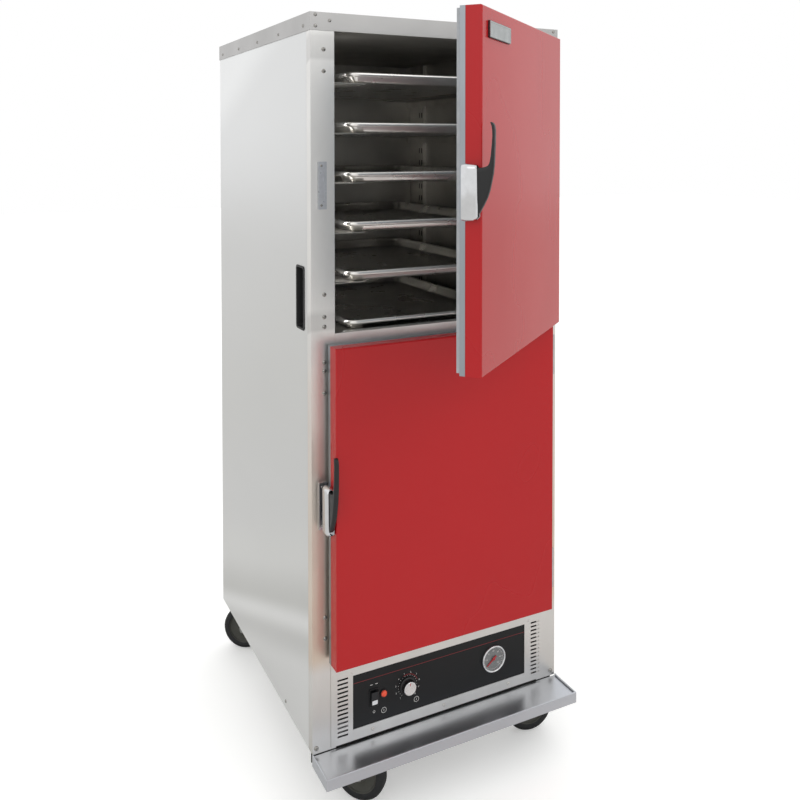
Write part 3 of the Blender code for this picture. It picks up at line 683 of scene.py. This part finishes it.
class CABINET_OT_fasteners(bpy.types.Operator):
    """Set the rivets, screws and bolts that hold the shell together"""

    bl_idname = "cabinet.fasteners"
    bl_label = "Rivets and screws"

    def execute(self, context):
        sizes = context.scene.cabinet_sizes
        self.rivet_cap(sizes.rivet_radius)
        self.screw_posts(sizes.screw_radius)
        self.screw_fascia()
        self.rivet_back(sizes.rivet_radius)
        self.bolt_casters()
        return {"FINISHED"}

    def rivet_cap(self, radius):
        """Three rivets at each front corner of the cap, five down each side, one at each wall's foot."""
        bm = bmesh.new()
        for way, wall, out in ((-1, CAP_LOW.x, TO_LEFT), (1, CAP_HIGH.x, TO_RIGHT)):
            for x, z in ((0.3267, 1.8447), (0.2924, 1.8333), (0.3267, 1.8197)):
                rivet_head(bm, on_front(way * x, z, FRONT_Y), radius)
            for y in (0.045, 0.2245, 0.401, 0.578, 0.750):
                rivet_head(bm, on_side(wall, y, 1.8235, out), radius)
        finish_piece("cap_rivets", bm, "screw", "cabinet", "top_cap")
        bm = bmesh.new()
        for side, end, out in SIDES:
            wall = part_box(f"{side}_side_panel")[end].x
            rivet_head(bm, on_side(wall, 0.191, 0.1715, out), radius)
        finish_piece("wall_foot_rivets", bm, "screw", "cabinet", "left_side_panel")

    def screw_posts(self, radius):
        """Screws down the left post's edge, and a larger one at the foot of each post."""
        bm = bmesh.new()
        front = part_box("left_front_post")[0].y
        for z in (1.7676, 1.7187, 1.2105, 1.1593, 1.1369, 1.0553, 1.0354, 0.9848, 0.4656, 0.4164):
            screw_head(bm, on_front(-0.3065, z, front), radius)
        for x in (-0.329, 0.326):
            screw_head(bm, on_front(x, 0.1660, front), radius * 1.1)
        finish_piece("post_screws", bm, "screw", "cabinet", "left_front_post")

    def screw_fascia(self):
        """Three screws along the fascia's foot and a rivet at each upper corner."""
        bm = bmesh.new()
        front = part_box("fascia")[0].y
        for x in (-0.1875, 0.0052, 0.1933):
            screw_head(bm, on_front(x, 0.1695, front), 0.0042)
        for x in (-0.2425, 0.2560):
            rivet_head(bm, on_front(x, 0.3165, front), 0.0030)
        finish_piece("fascia_screws", bm, "front sheet", "cabinet", "fascia")

    def rivet_back(self, radius):
        """Nine rivets down each edge of the rear panel, and three along its top and foot."""
        bm = bmesh.new()
        low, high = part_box("rear_panel")
        edge_rivets, inset = 9, 0.035
        spots = []
        for i in range(edge_rivets):
            z = low.z + inset + (high.z - low.z - 2 * inset) * i / (edge_rivets - 1)
            spots += [(low.x + 0.018, z), (high.x - 0.018, z)]
        for x in (low.x + 0.16, low.x + 0.33, low.x + 0.5):
            spots += [(x, low.z + 0.02), (x, high.z - 0.02)]
        for x, z in spots:
            rivet_head(bm, facing(Vector((x, high.y, z)), TO_BACK), radius)
        finish_piece("back_rivets", bm, "screw", "cabinet", "rear_panel")

    def bolt_casters(self):
        """Four bolts through each caster's plate."""
        bm = bmesh.new()
        under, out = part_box("base_frame")[0].z, 0.026
        for caster in CASTERS:
            pivot = Vector(JOINTS[f"{caster}_caster_swivel"]["pos_m"])
            for dx, dy in ((-out, -out), (out, -out), (-out, out), (out, out)):
                place = Vector((pivot.x + dx, pivot.y + dy, under))
                hex_head(bm, facing(place, -UP, TO_FRONT), 0.0095, 0.0045)
        finish_piece("caster_plate_bolts", bm, "zinc", "cabinet", "base_frame")


# ---- hand grips


class CABINET_OT_hand_grips(bpy.types.Operator):
    """Fit the black moulded liners into the hand holes of both side walls"""

    bl_idname = "cabinet.hand_grips"
    bl_label = "Hand grips"

    def execute(self, context):
        near, far, foot, top = 0.0495, 0.0958, 1.1255, 1.2675  # the hole, from the front and the floor
        for side, end, out in SIDES:
            wall = f"{side}_side_panel"
            bm = bmesh.new()
            rings = stepped_rings((far - near) / 2, (top - foot) / 2, (
                (-0.0035, 0.0070, 0.0002), (-0.0038, 0.0070, 0.0012), (-0.0030, 0.0066, 0.0019),
                (-0.0005, 0.0060, 0.0021), (0.0010, 0.0056, 0.0016), (0.0016, 0.0052, -0.0010),
                (0.0026, 0.0050, -0.0150), (0.0034, 0.0048, -0.0195), (0.0060, 0.0040, -0.0216),
                (0.0150, 0.0030, -0.0220)))
            place = on_side(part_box(wall)[end].x, (near + far) / 2, (foot + top) / 2, out)
            lofted(bm, rings, place, ends=False)
            bm.faces.new(list(bm.verts)[-len(rings[-1]):])
            finish_piece(f"{side}_grip_liner", bm, "grip nylon", "cabinet", wall)
        return {"FINISHED"}


# ---- latches


class CABINET_OT_latches(bpy.types.Operator):
    """Build the chrome latch housings and black levers on the doors' free edges"""

    bl_idname = "cabinet.latches"
    bl_label = "Door latches"

    def execute(self, context):
        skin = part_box("lower_door_skin")[0]
        for door in ("upper", "lower"):
            low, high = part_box(f"{door}_latch_body")
            place = facing(Vector((skin.x - 0.0103, skin.y, (low.z + high.z) / 2)), TO_FRONT)
            self.cast_housing(door, place)
            self.mould_lever(door, place)
            self.fix_strike(door)
        return {"FINISHED"}

    def cast_housing(self, door, place):
        """A cast shell, round at both ends, whose chamfered front carries a bright rim round a slot."""
        front = ((-0.0560, -0.0120), (-0.0470, -0.0030), (-0.0340, 0.0040), (-0.0180, 0.0072),
                 (-0.0020, 0.0070), (0.0150, 0.0048), (0.0315, 0.0010), (0.0470, -0.0040),
                 (0.0560, -0.0080))  # height along the housing, and how far it stands out there
        rings = []
        for half_u, half_v, drop, depth in (
            (0.0088, 0.0543, None, -0.0360), (0.0100, 0.0555, None, -0.0290),
            (0.0100, 0.0555, 0.0110, 0.0), (0.0092, 0.0547, 0.0030, 0.0),
            (0.0080, 0.0535, 0.0006, 0.0), (0.0070, 0.0525, 0.0, 0.0),
            (0.0067, 0.0522, 0.0008, 0.0), (0.0065, 0.0518, 0.0120, 0.0),
        ):
            ring = []
            for u, v, _ in rounded_ring(half_u, half_v, half_u - 0.0002, 0.0, 8):
                low, high = next((a, b) for a, b in zip(front, front[1:]) if v <= b[0] + 0.0001)
                reach = low[1] + (high[1] - low[1]) * (v - low[0]) / (high[0] - low[0])
                ring.append((u, v, depth if drop is None else reach - drop))
            rings.append(ring)
        housing = lofted_piece(f"{door}_latch_housing", rings, place, "chrome", f"{door}_door",
                               f"{door}_latch_body", DOOR_SWING[door], 12.0)
        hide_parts(f"{door}_latch_body")

    def mould_lever(self, door, place):
        """A lever like a fin: a slim horn above, widening into a body that sits in the housing."""
        slim = 0.9  # of the half widths below, so that it clears the housing
        rows = (  # height, inner and outer face, half width
            (0.1342, 0.0212, 0.0240, 0.0040), (0.1325, 0.0214, 0.0268, 0.0052),
            (0.1280, 0.0236, 0.0292, 0.0058), (0.1200, 0.0252, 0.0303, 0.0061),
            (0.1090, 0.0256, 0.0304, 0.0062), (0.0970, 0.0249, 0.0302, 0.0063),
            (0.0860, 0.0239, 0.0299, 0.0064), (0.0720, 0.0225, 0.0294, 0.0065),
            (0.0615, 0.0207, 0.0290, 0.0066), (0.0560, 0.0190, 0.0288, 0.0066),
            (0.0520, 0.0162, 0.0286, 0.0066), (0.0495, 0.0115, 0.0284, 0.0066),
            (0.0482, 0.0040, 0.0282, 0.0066), (0.0465, -0.0080, 0.0280, 0.0066),
            (0.0356, -0.0098, 0.0268, 0.0066), (0.0220, -0.0104, 0.0240, 0.0066),
            (0.0044, -0.0106, 0.0201, 0.0066), (-0.0092, -0.0106, 0.0155, 0.0066),
            (-0.0205, -0.0104, 0.0101, 0.0066), (-0.0300, -0.0100, 0.0048, 0.0064),
            (-0.0380, -0.0085, 0.0005, 0.0060), (-0.0415, -0.0062, -0.0030, 0.0050),
        )
        rings = []
        for v, inner, outer, half in rows:
            middle, reach, half = (inner + outer) / 2, (outer - inner) / 2, half * slim
            outline = rounded_ring(half, reach, min(reach, half) * 0.62, 0.0, 4, (0.0, middle))
            rings.append([(u, v, n) for u, n, _ in outline])
        lever = lofted_piece(f"{door}_latch_handle", rings, place, "nylon", f"{door}_lever",
                             f"{door}_latch_lever", DOOR_SWING[door], 60.0)
        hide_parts(f"{door}_latch_lever")

    def fix_strike(self, door):
        """Countersunk screws at both ends of the strike plate."""
        low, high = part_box(f"{door}_strike")
        bm = bmesh.new()
        for z in (low.z + 0.009, high.z - 0.009):
            place = Vector((low.x + 0.0070, low.y - 0.0002, z))
            screw_head(bm, facing(place, TO_FRONT), 0.0030)
        finish_piece(f"{door}_strike_screws", bm, "screw", "cabinet", f"{door}_strike")


# ---- hinges


class CABINET_OT_hinges(bpy.types.Operator):
    """Add pin caps and screws to the four door hinges"""

    bl_idname = "cabinet.hinges"
    bl_label = "Door hinges"

    def execute(self, context):
        for door in ("upper", "lower"):
            pin = Vector(JOINTS[f"{door}_door_hinge"]["pos_m"])
            for level in ("lower", "upper"):
                base = f"{door}_door_{level}_hinge"
                leaf = f"{base}_frame_leaf"
                low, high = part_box(leaf)
                bm = bmesh.new()
                for z, normal in ((high.z, UP), (low.z, -UP)):
                    end = facing(Vector((pin.x, pin.y, z)), normal, TO_FRONT)
                    dome = [(0.0040, 0.0), (0.0042, 0.0012), (0.0032, 0.0026), (0.0012, 0.0032)]
                    turned(bm, dome, end, 20)
                finish_piece(f"{base}_pin_caps", bm, "hinge chrome", "cabinet", leaf)
                bm = bmesh.new()
                for share in (0.18, 0.5, 0.82):
                    spot = Vector((high.x - 0.0105, FRONT_Y - 0.0015, low.z + (high.z - low.z) * share))
                    screw_head(bm, facing(spot, TO_FRONT), 0.0038)
                finish_piece(f"{base}_screws", bm, "screw", "cabinet", leaf)
        return {"FINISHED"}


# ---- badge


class CABINET_OT_badge(bpy.types.Operator):
    """Put the plain badge plate on the upper door"""

    bl_idname = "cabinet.badge"
    bl_label = "Badge plate"

    def execute(self, context):
        sizes = context.scene.cabinet_sizes
        place = on_front(-0.2014, 1.7764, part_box("lower_door_skin")[0].y - 0.0002)
        half_u, half_v, deep = sizes.badge_width / 2, sizes.badge_height / 2, sizes.badge_thickness
        rides = ("upper_door", "upper_door_skin", DOOR_SWING["upper"])
        backing = ((0.0, 0.0020, 0.0), (0.0, 0.0020, deep * 0.66), (0.0006, 0.0016, deep * 0.72))
        lofted_piece("badge_backing", stepped_rings(half_u, half_v, backing), place,
                     "badge edge", *rides)
        plate = [(inset, 0.0014, deep * share) for inset, share in (
            (0.0010, 0.72), (0.0010, 0.92), (0.0018, 1.0), (0.0034, 1.0), (0.0040, 0.9), (0.0052, 0.88))]
        lofted_piece("badge_plate", stepped_rings(half_u, half_v, plate), place, "badge", *rides)
        return {"FINISHED"}


# ---- controls


def flat_ring(bm, place, inner, outer, height, start=0.0, sweep=360.0, steps=48):
    """A flat printed ring or arc."""
    count = max(3, int(steps * sweep / 360.0))
    closed = sweep >= 360.0
    rows = []
    for i in range(count + (0 if closed else 1)):
        angle = math.radians(start + sweep * i / count)
        way = Vector((math.cos(angle), math.sin(angle), 0))
        lift = Vector((0, 0, height))
        rows.append([bm.verts.new(place @ (way * reach + lift)) for reach in (inner, outer)])
    pairs = list(zip(rows, rows[1:])) + ([(rows[-1], rows[0])] if closed else [])
    for one, two in pairs:
        bm.faces.new((one[0], one[1], two[1], two[0]))


def flat_bar(bm, place, angle, inner, outer, half, height):
    """A flat printed tick between two radii, or a bar along an angle."""
    turn = math.radians(angle)
    along = Vector((math.cos(turn), math.sin(turn), 0))
    across = Vector((-math.sin(turn), math.cos(turn), 0))
    corners = []
    for reach, side in ((inner, -half), (outer, -half), (outer, half), (inner, half)):
        corners.append(bm.verts.new(place @ (along * reach + across * side + Vector((0, 0, height)))))
    bm.faces.new(corners)


def printed_number(text, place, size, height):
    """The mesh of a number as flat ink."""
    curve = bpy.data.curves.new("number", "FONT")
    curve.body = text
    curve.size = size
    curve.align_x = "CENTER"
    curve.align_y = "CENTER"
    item = bpy.data.objects.new("number", curve)
    bpy.context.scene.collection.objects.link(item)
    bpy.context.view_layer.update()
    mesh = bpy.data.meshes.new_from_object(item.evaluated_get(bpy.context.evaluated_depsgraph_get()))
    bpy.data.objects.remove(item, do_unlink=True)
    mesh.transform(place @ Matrix.Translation((0, 0, height)))
    return mesh


def printed_scale(bm, place, height, start, sweep, count, every, long, short, figures, worth):
    """Ticks round a dial as (inner, outer, half width); each long one has its figure.

    figures are the radius and size of the numbers, and worth turns a tick's place into its number.
    """
    radius, size = figures
    for i in range(count):
        angle = start - sweep * i / (count - 1)
        flat_bar(bm, place, angle, *(short if i % every else long), height)
        if i % every == 0:
            turn = math.radians(angle)
            centre = place @ Matrix.Translation((radius * math.cos(turn), radius * math.sin(turn), 0))
            mesh = printed_number(str(worth(i)), centre, size, height)
            bm.from_mesh(mesh)
            bpy.data.meshes.remove(mesh)


class CABINET_OT_controls(bpy.types.Operator):
    """Print the overlay and build the knob cap, rocker bezel and lamp bezel"""

    bl_idname = "cabinet.controls"
    bl_label = "Control panel"

    def execute(self, context):
        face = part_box("control_panel")[0].y
        dial = on_front(-0.0951, 0.2461, face)
        self.print_overlay(dial, face, context.scene.cabinet_sizes.dial_numbers)
        self.cap_knob(dial, face)
        self.frame_switch(on_front(-0.1838, 0.2430, face))
        self.ring_lamp(on_front(-0.1585, 0.2461, face))
        return {"FINISHED"}

    def print_overlay(self, dial, y, numbers):
        """The red line and arc, the heat dial's scale and the small marks, all as flat ink."""
        lift = 0.00012
        bm = bmesh.new()
        flat_bar(bm, on_front(-0.0065, 0.2903, y), 0.0, -0.2315, 0.2485, 0.00065, lift)
        flat_ring(bm, dial, 0.0268, 0.0284, lift, 20.0, 95.0)
        finish_piece("overlay_red_print", bm, "red ink", "cabinet", "control_panel")
        bm = bmesh.new()
        printed_scale(bm, dial, lift, 232.0, 284.0, numbers * 2 - 1, 2, (0.0236, 0.0262, 0.00035),
                      (0.0236, 0.0250, 0.00035), (0.0322, 0.0056), lambda i: i // 2 + 1)
        for x, z in ((-0.158, 0.205), (-0.071, 0.206)):
            icon = on_front(x, z, y)
            flat_ring(bm, icon, 0.0058, 0.0068, lift)
            flat_bar(bm, icon, 90.0, -0.0030, 0.0030, 0.0005, lift)
        for x in (-0.1905, -0.1770):
            flat_bar(bm, on_front(x, 0.2745, y), 0.0, -0.003, 0.003, 0.0007, lift)
        flat_ring(bm, on_front(-0.1838, 0.2085, y), 0.0022, 0.0030, lift)
        finish_piece("overlay_white_print", bm, "white ink", "cabinet", "control_panel")

    def cap_knob(self, dial, y):
        """A bright spun cap on the knob, with a raised pointer bar and a fluted grip."""
        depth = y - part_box("thermostat_knob")[0].y
        flutes, steps = 18, 72
        rings = []
        for radius, flute, height in (
            (0.0206, 0.0, 0.0004), (0.0206, 0.0, 0.0024), (0.0186, 0.0, 0.0036),
            (0.0176, 0.0010, 0.0052), (0.0170, 0.0010, depth - 0.0035),
            (0.0166, 0.0004, depth - 0.0018), (0.0158, 0.0, depth - 0.0014),
        ):
            ring = []
            for i in range(steps):
                angle = 2 * math.pi * i / steps
                reach = radius - flute * (0.5 + 0.5 * math.cos(angle * flutes))
                ring.append((reach * math.cos(angle), reach * math.sin(angle), height))
            rings.append(ring)
        rides = ("thermostat_knob", "thermostat_knob")
        knob = lofted_piece("knob_grip", rings, dial, "nylon", *rides, crease=50)
        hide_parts("thermostat_knob")
        cap = [(0.0156, depth - 0.0016), (0.0158, depth - 0.0008), (0.0150, depth - 0.0001),
               (0.0140, depth - 0.0003), (0.0060, depth - 0.0005), (0.0010, depth - 0.0005)]
        turned_piece("knob_cap", cap, dial, 48, "knob cap", *rides)
        bm = bmesh.new()
        pointer = [(-0.0007, 0.0070), (0.0007, 0.0070), (0.0007, 0.0140), (-0.0007, 0.0140)]
        pressed_flat(bm, pointer, dial @ Matrix.Translation((0, 0, depth - 0.0004)), 0.0003)
        finish_piece("knob_pointer", bm, "needle", *rides)

    def frame_switch(self, centre):
        """A black bezel round the rocker, and a rocker face with a white lower half."""
        bezel = stepped_rings(0.0119, 0.0212, (
            (0.0, 0.0025, 0.0002), (0.0, 0.0025, 0.0016), (0.0007, 0.0022, 0.0024),
            (0.0016, 0.0016, 0.0022), (0.0020, 0.0012, 0.0006)))
        lofted_piece("switch_bezel", bezel, centre, "nylon", "cabinet", "control_panel", loop=True)
        profile = [(-0.0166, 0.0046), (-0.0162, 0.0055), (-0.0090, 0.0060), (-0.0005, 0.0065),
                   (0.0090, 0.0076), (0.0152, 0.0085), (0.0162, 0.0081), (0.0160, 0.0046)]
        ends = ((-0.0092, 0.0006), (-0.0086, 0.0), (0.0086, 0.0), (0.0092, 0.0006))  # u, and a soft edge
        sides = [[(u, v, n - edge) for v, n in profile] for u, edge in ends]
        rides = ("power_switch", "power_switch")
        rocker = lofted_piece("switch_rocker", sides, centre, "nylon", *rides, crease=30)
        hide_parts("power_switch")
        lean = Matrix.Rotation(math.radians(3.2), 4, "X")
        tilt = centre @ Matrix.Translation((0, -0.0095, 0.00585)) @ lean
        mark = stepped_rings(0.0070, 0.0052, ((0.0, 0.0012, 0.0), (0.0004, 0.0010, 0.0004)))
        lofted_piece("switch_white_mark", mark, tilt, "white cap", *rides)

    def ring_lamp(self, centre):
        """The lamp's black bezel."""
        bezel = [(0.0098, 0.0002), (0.0100, 0.0016), (0.0094, 0.0026), (0.0084, 0.0028),
                 (0.0078, 0.0024), (0.0078, 0.0021)]
        turned_piece("lamp_bezel", bezel, centre, 36, "nylon", "cabinet", "pilot_lamp")


# ---- thermometer


class CABINET_OT_thermometer(bpy.types.Operator):
    """Add the polished ring, printed scale and hub of the dial thermometer"""

    bl_idname = "cabinet.thermometer"
    bl_label = "Thermometer"

    def execute(self, context):
        low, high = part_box("thermometer_case")
        middle = (low + high) / 2
        centre = facing((middle.x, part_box("control_panel")[0].y, middle.z), TO_FRONT)
        ring = [(0.0338, 0.0004), (0.0341, 0.0030), (0.0338, 0.0064), (0.0328, 0.0081), (0.0312, 0.0085),
                (0.0298, 0.0078), (0.0290, 0.0062), (0.0288, 0.0026), (0.0300, 0.0022)]
        turned_piece("thermometer_ring", ring, centre, 64, "chrome", "cabinet", "thermometer_case",
                     loop=True, crease=60)
        face = 0.0023
        bm = bmesh.new()
        printed_scale(bm, centre, face, 225.0, 270.0, 31, 5, (0.0232, 0.0272, 0.00045),
                      (0.0248, 0.0272, 0.00025), (0.0190, 0.0050), lambda i: i * 4)
        flat_ring(bm, centre, 0.0272, 0.0278, face)
        finish_piece("thermometer_scale", bm, "white ink", "cabinet", "thermometer_case")
        hub = [(0.0042, 0.0050), (0.0044, 0.0056), (0.0034, 0.0064), (0.0012, 0.0067)]
        turned_piece("needle_hub", hub, centre, 28, "needle", "thermometer_needle", "thermometer_needle")
        return {"FINISHED"}


# ---- sheet pans


class CABINET_OT_sheet_pans(bpy.types.Operator):
    """Draw the six sheet pans with rolled rims and round corners"""

    bl_idname = "cabinet.sheet_pans"
    bl_label = "Sheet pans"

    def execute(self, context):
        bead, play = 0.0058, 0.0002  # the rolled rim's radius, and the room it leaves
        for number in range(1, 7):
            node = f"sheet_pan_{number}"
            low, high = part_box(node)
            middle = (low + high) / 2
            middle.z = low.z
            half_u, half_v = (high.x - low.x) / 2 - play, (high.y - low.y) / 2 - play
            depth = high.z - low.z
            profile = [(0.060, 0.0012), (0.0240, 0.0012), (0.0200, 0.0024), (0.0180, 0.0052),
                       (0.0092, depth - 0.0060), (0.0084, depth - 0.0022)]
            for i in range(9):
                angle = math.radians(180 - 250 * i / 8)
                profile.append((bead - bead * math.cos(angle), depth - bead + bead * math.sin(angle)))
            profile += [(0.0070, depth - 0.0066), (0.0104, depth - 0.0068), (0.0192, 0.0046),
                        (0.0212, 0.0014), (0.0250, 0.0), (0.0600, 0.0)]
            rows = [(inset, max(0.0060, 0.0300 - inset * 0.9), height) for inset, height in profile]
            pan = lofted_piece(f"pan_{number}", stepped_rings(half_u, half_v, rows, 7),
                               Matrix.Translation(middle), "pan sheet", node, node, crease=50)
            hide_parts(node)
        return {"FINISHED"}


# ---- casters


class CABINET_OT_casters(bpy.types.Operator):
    """Turn the wheels with their tyres, and add axle nuts and race covers"""

    bl_idname = "cabinet.casters"
    bl_label = "Casters"

    def execute(self, context):
        for name in CASTERS:
            self.build_caster(name)
        return {"FINISHED"}

    def build_caster(self, name):
        axle = JOINTS[f"{name}_wheel_spin"]
        centre, along = Vector(axle["pos_m"]), Vector(axle["axis"])
        place = facing(centre, along)
        radius = centre.z
        wheel, fork = f"{name}_caster_wheel", f"{name}_caster_fork"
        tyre = [(0.0455, 0.0150), (0.0500, 0.0159), (0.0565, 0.0156), (0.0605, 0.0136),
                (0.0628, 0.0098), (radius - 0.0001, 0.0040)]
        profile = [*tyre, *[(r, -n) for r, n in reversed(tyre)], (0.0440, -0.0135), (0.0440, 0.0135)]
        rolling = turned_piece(f"{name}_tyre", profile, place, 56, "tyre", f"{name}_wheel", wheel,
                               loop=True, crease=50)
        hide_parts(wheel)
        hub = [(0.0075, 0.0158), (0.0150, 0.0158), (0.0172, 0.0145), (0.0185, 0.0106), (0.0230, 0.0092),
               (0.0380, 0.0094), (0.0420, 0.0108), (0.0440, 0.0140), (0.0452, 0.0150)]
        profile = [*hub, *[(r, -n) for r, n in reversed(hub)]]
        turned_piece(f"{name}_hub", profile, place, 48, "hub", f"{name}_wheel", wheel,
                     loop=True, crease=40, round_mm=0.5)
        bm = bmesh.new()
        for way in (1, -1):
            hex_head(bm, facing(centre + along * way * 0.0212, along * way), 0.0130, 0.0056)
        finish_piece(f"{name}_axle_nuts", bm, "zinc", f"{name}_swivel", fork)
        pivot = Vector(JOINTS[f"{name}_caster_swivel"]["pos_m"])
        race = facing(Vector((pivot.x, pivot.y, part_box(fork)[1].z)), -UP, TO_FRONT)
        cover = [(0.0312, 0.0004), (0.0336, 0.0020), (0.0342, 0.0050), (0.0336, 0.0082),
                 (0.0318, 0.0098), (0.0290, 0.0092)]
        turned_piece(f"{name}_race_cover", cover, race, 48, "zinc", f"{name}_swivel", fork)


# ---- slides


class CABINET_OT_slides(bpy.types.Operator):
    """Show the punched slots up the slide uprights as patches of painted shade"""

    bl_idname = "cabinet.slides"
    bl_label = "Slide uprights"

    def execute(self, context):
        pitch, proud = 0.0381, 0.0105  # of the slots, and of the uprights off the liner
        for side, end, out in SIDES:
            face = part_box(f"{side}_liner")[1 - end].x - out.x * proud
            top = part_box(f"{side}_slide_rack")[1].z - 0.03
            heights = [0.430 + row * pitch for row in range(36)]
            # Each slot is a thin near-black patch: painted shade for the dark inside of the punched
            # hole.
            slot = [rounded_ring(0.0026, 0.0085, 0.0025, rise) for rise in (0.0, 0.00035)]
            bm = bmesh.new()
            for y in (0.070, 0.375, 0.640):
                for z in heights:
                    for step in (-0.008, 0.008):
                        if z <= top:
                            place = on_side(face, y + 0.018 + step, z, -out)
                            lofted(bm, slot, place)
            finish_piece(f"{side}_upright_slots", bm, "slot shade", "cabinet", f"{side}_slide_rack")
        return {"FINISHED"}


# ---- drip tray


class CABINET_OT_tray_hem(bpy.types.Operator):
    """Add the drip tray's rolled hem, and a near-black strip of painted shade in the gap behind it"""

    bl_idname = "cabinet.tray_hem"
    bl_label = "Drip tray hem"

    def execute(self, context):
        low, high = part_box("drip_tray")
        bm = bmesh.new()
        radius, inset = 0.0024, 0.0019
        left, right, front, back = low.x + inset, high.x - inset, low.y + inset, high.y - 0.004
        corners = [Vector((x, y, high.z - inset))
                   for x, y in ((left, back), (left, front), (right, front), (right, back))]
        for start, end in zip(corners, corners[1:]):
            along = end - start
            turned(bm, [(radius, 0.0), (radius, along.length)], facing(start, along), 16)
        finish_piece("tray_hem", bm, "tray sheet", "cabinet", "drip_tray")
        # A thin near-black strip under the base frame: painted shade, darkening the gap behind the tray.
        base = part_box("base_frame")[0]
        bm = bmesh.new()
        half, lower, upper = 0.336, base.z - 0.026, base.z - 0.0003
        outline = [(-half, lower), (half, lower), (half, upper), (-half, upper)]
        pressed_flat(bm, outline, on_front(0.0, 0.0, base.y), 0.0010)
        finish_piece("gap_flange", bm, "slot shade", "cabinet", "base_frame")
        return {"FINISHED"}


# ---- back


class CABINET_OT_cord_gland(bpy.types.Operator):
    """Build the ribbed cord gland on the back"""

    bl_idname = "cabinet.cord_gland"
    bl_label = "Cord gland"

    def execute(self, context):
        low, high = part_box("cord_gland")
        centre = (low + high) / 2
        centre.y = low.y
        deep = high.y - low.y
        profile = [(0.0160, 0.0002), (0.0160, 0.0034), (0.0150, 0.0042), (0.0114, 0.0044)]
        ribs = 4
        for i in range(ribs):
            start = 0.0050 + i * (deep - 0.006) / ribs
            crest, root = 0.0110 - i * 0.0004, 0.0094 - i * 0.0003
            profile += [(crest, start), (crest, start + 0.0018), (root, start + 0.0022)]
        profile += [(0.0086, deep - 0.0002), (0.0062, deep - 0.0001), (0.0060, deep - 0.0080),
                    (0.0020, deep - 0.0082)]
        gland = turned_piece("gland_body", profile, facing(centre, TO_BACK), 36, "nylon", "cabinet",
                             "cord_gland", crease=30)
        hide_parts("cord_gland")
        return {"FINISHED"}


# ---- panel and registration

OPERATORS = (
    CABINET_OT_camera,
    CABINET_OT_stage,
    CABINET_OT_sheet_metal,
    CABINET_OT_fasteners,
    CABINET_OT_hand_grips,
    CABINET_OT_latches,
    CABINET_OT_hinges,
    CABINET_OT_badge,
    CABINET_OT_controls,
    CABINET_OT_thermometer,
    CABINET_OT_sheet_pans,
    CABINET_OT_casters,
    CABINET_OT_slides,
    CABINET_OT_tray_hem,
    CABINET_OT_cord_gland,
)


class CABINET_PT_sidebar(bpy.types.Panel):
    """The cabinet's settings and the steps that build it"""

    bl_idname = "CABINET_PT_sidebar"
    bl_label = "Holding cabinet"
    bl_space_type = "VIEW_3D"
    bl_region_type = "UI"
    bl_category = "Cabinet"

    def draw(self, context):
        layout = self.layout
        for group in (context.scene.cabinet_sizes, context.scene.cabinet_looks):
            box = layout.box()
            for name in group.__annotations__:
                box.prop(group, name)
        for operator in OPERATORS:
            layout.operator(operator.bl_idname)


CLASSES = (CabinetSizes, CabinetLooks, *OPERATORS, CABINET_PT_sidebar)


def register():
    for cls in CLASSES:
        bpy.utils.register_class(cls)
    bpy.types.Scene.cabinet_sizes = PointerProperty(type=CabinetSizes)
    bpy.types.Scene.cabinet_looks = PointerProperty(type=CabinetLooks)


def unregister():
    del bpy.types.Scene.cabinet_looks
    del bpy.types.Scene.cabinet_sizes
    for cls in reversed(CLASSES):
        bpy.utils.unregister_class(cls)


def main():
    register()
    for operator in OPERATORS:
        group, name = operator.bl_idname.split(".")
        getattr(getattr(bpy.ops, group), name)()


if __name__ == "__main__":
    main()
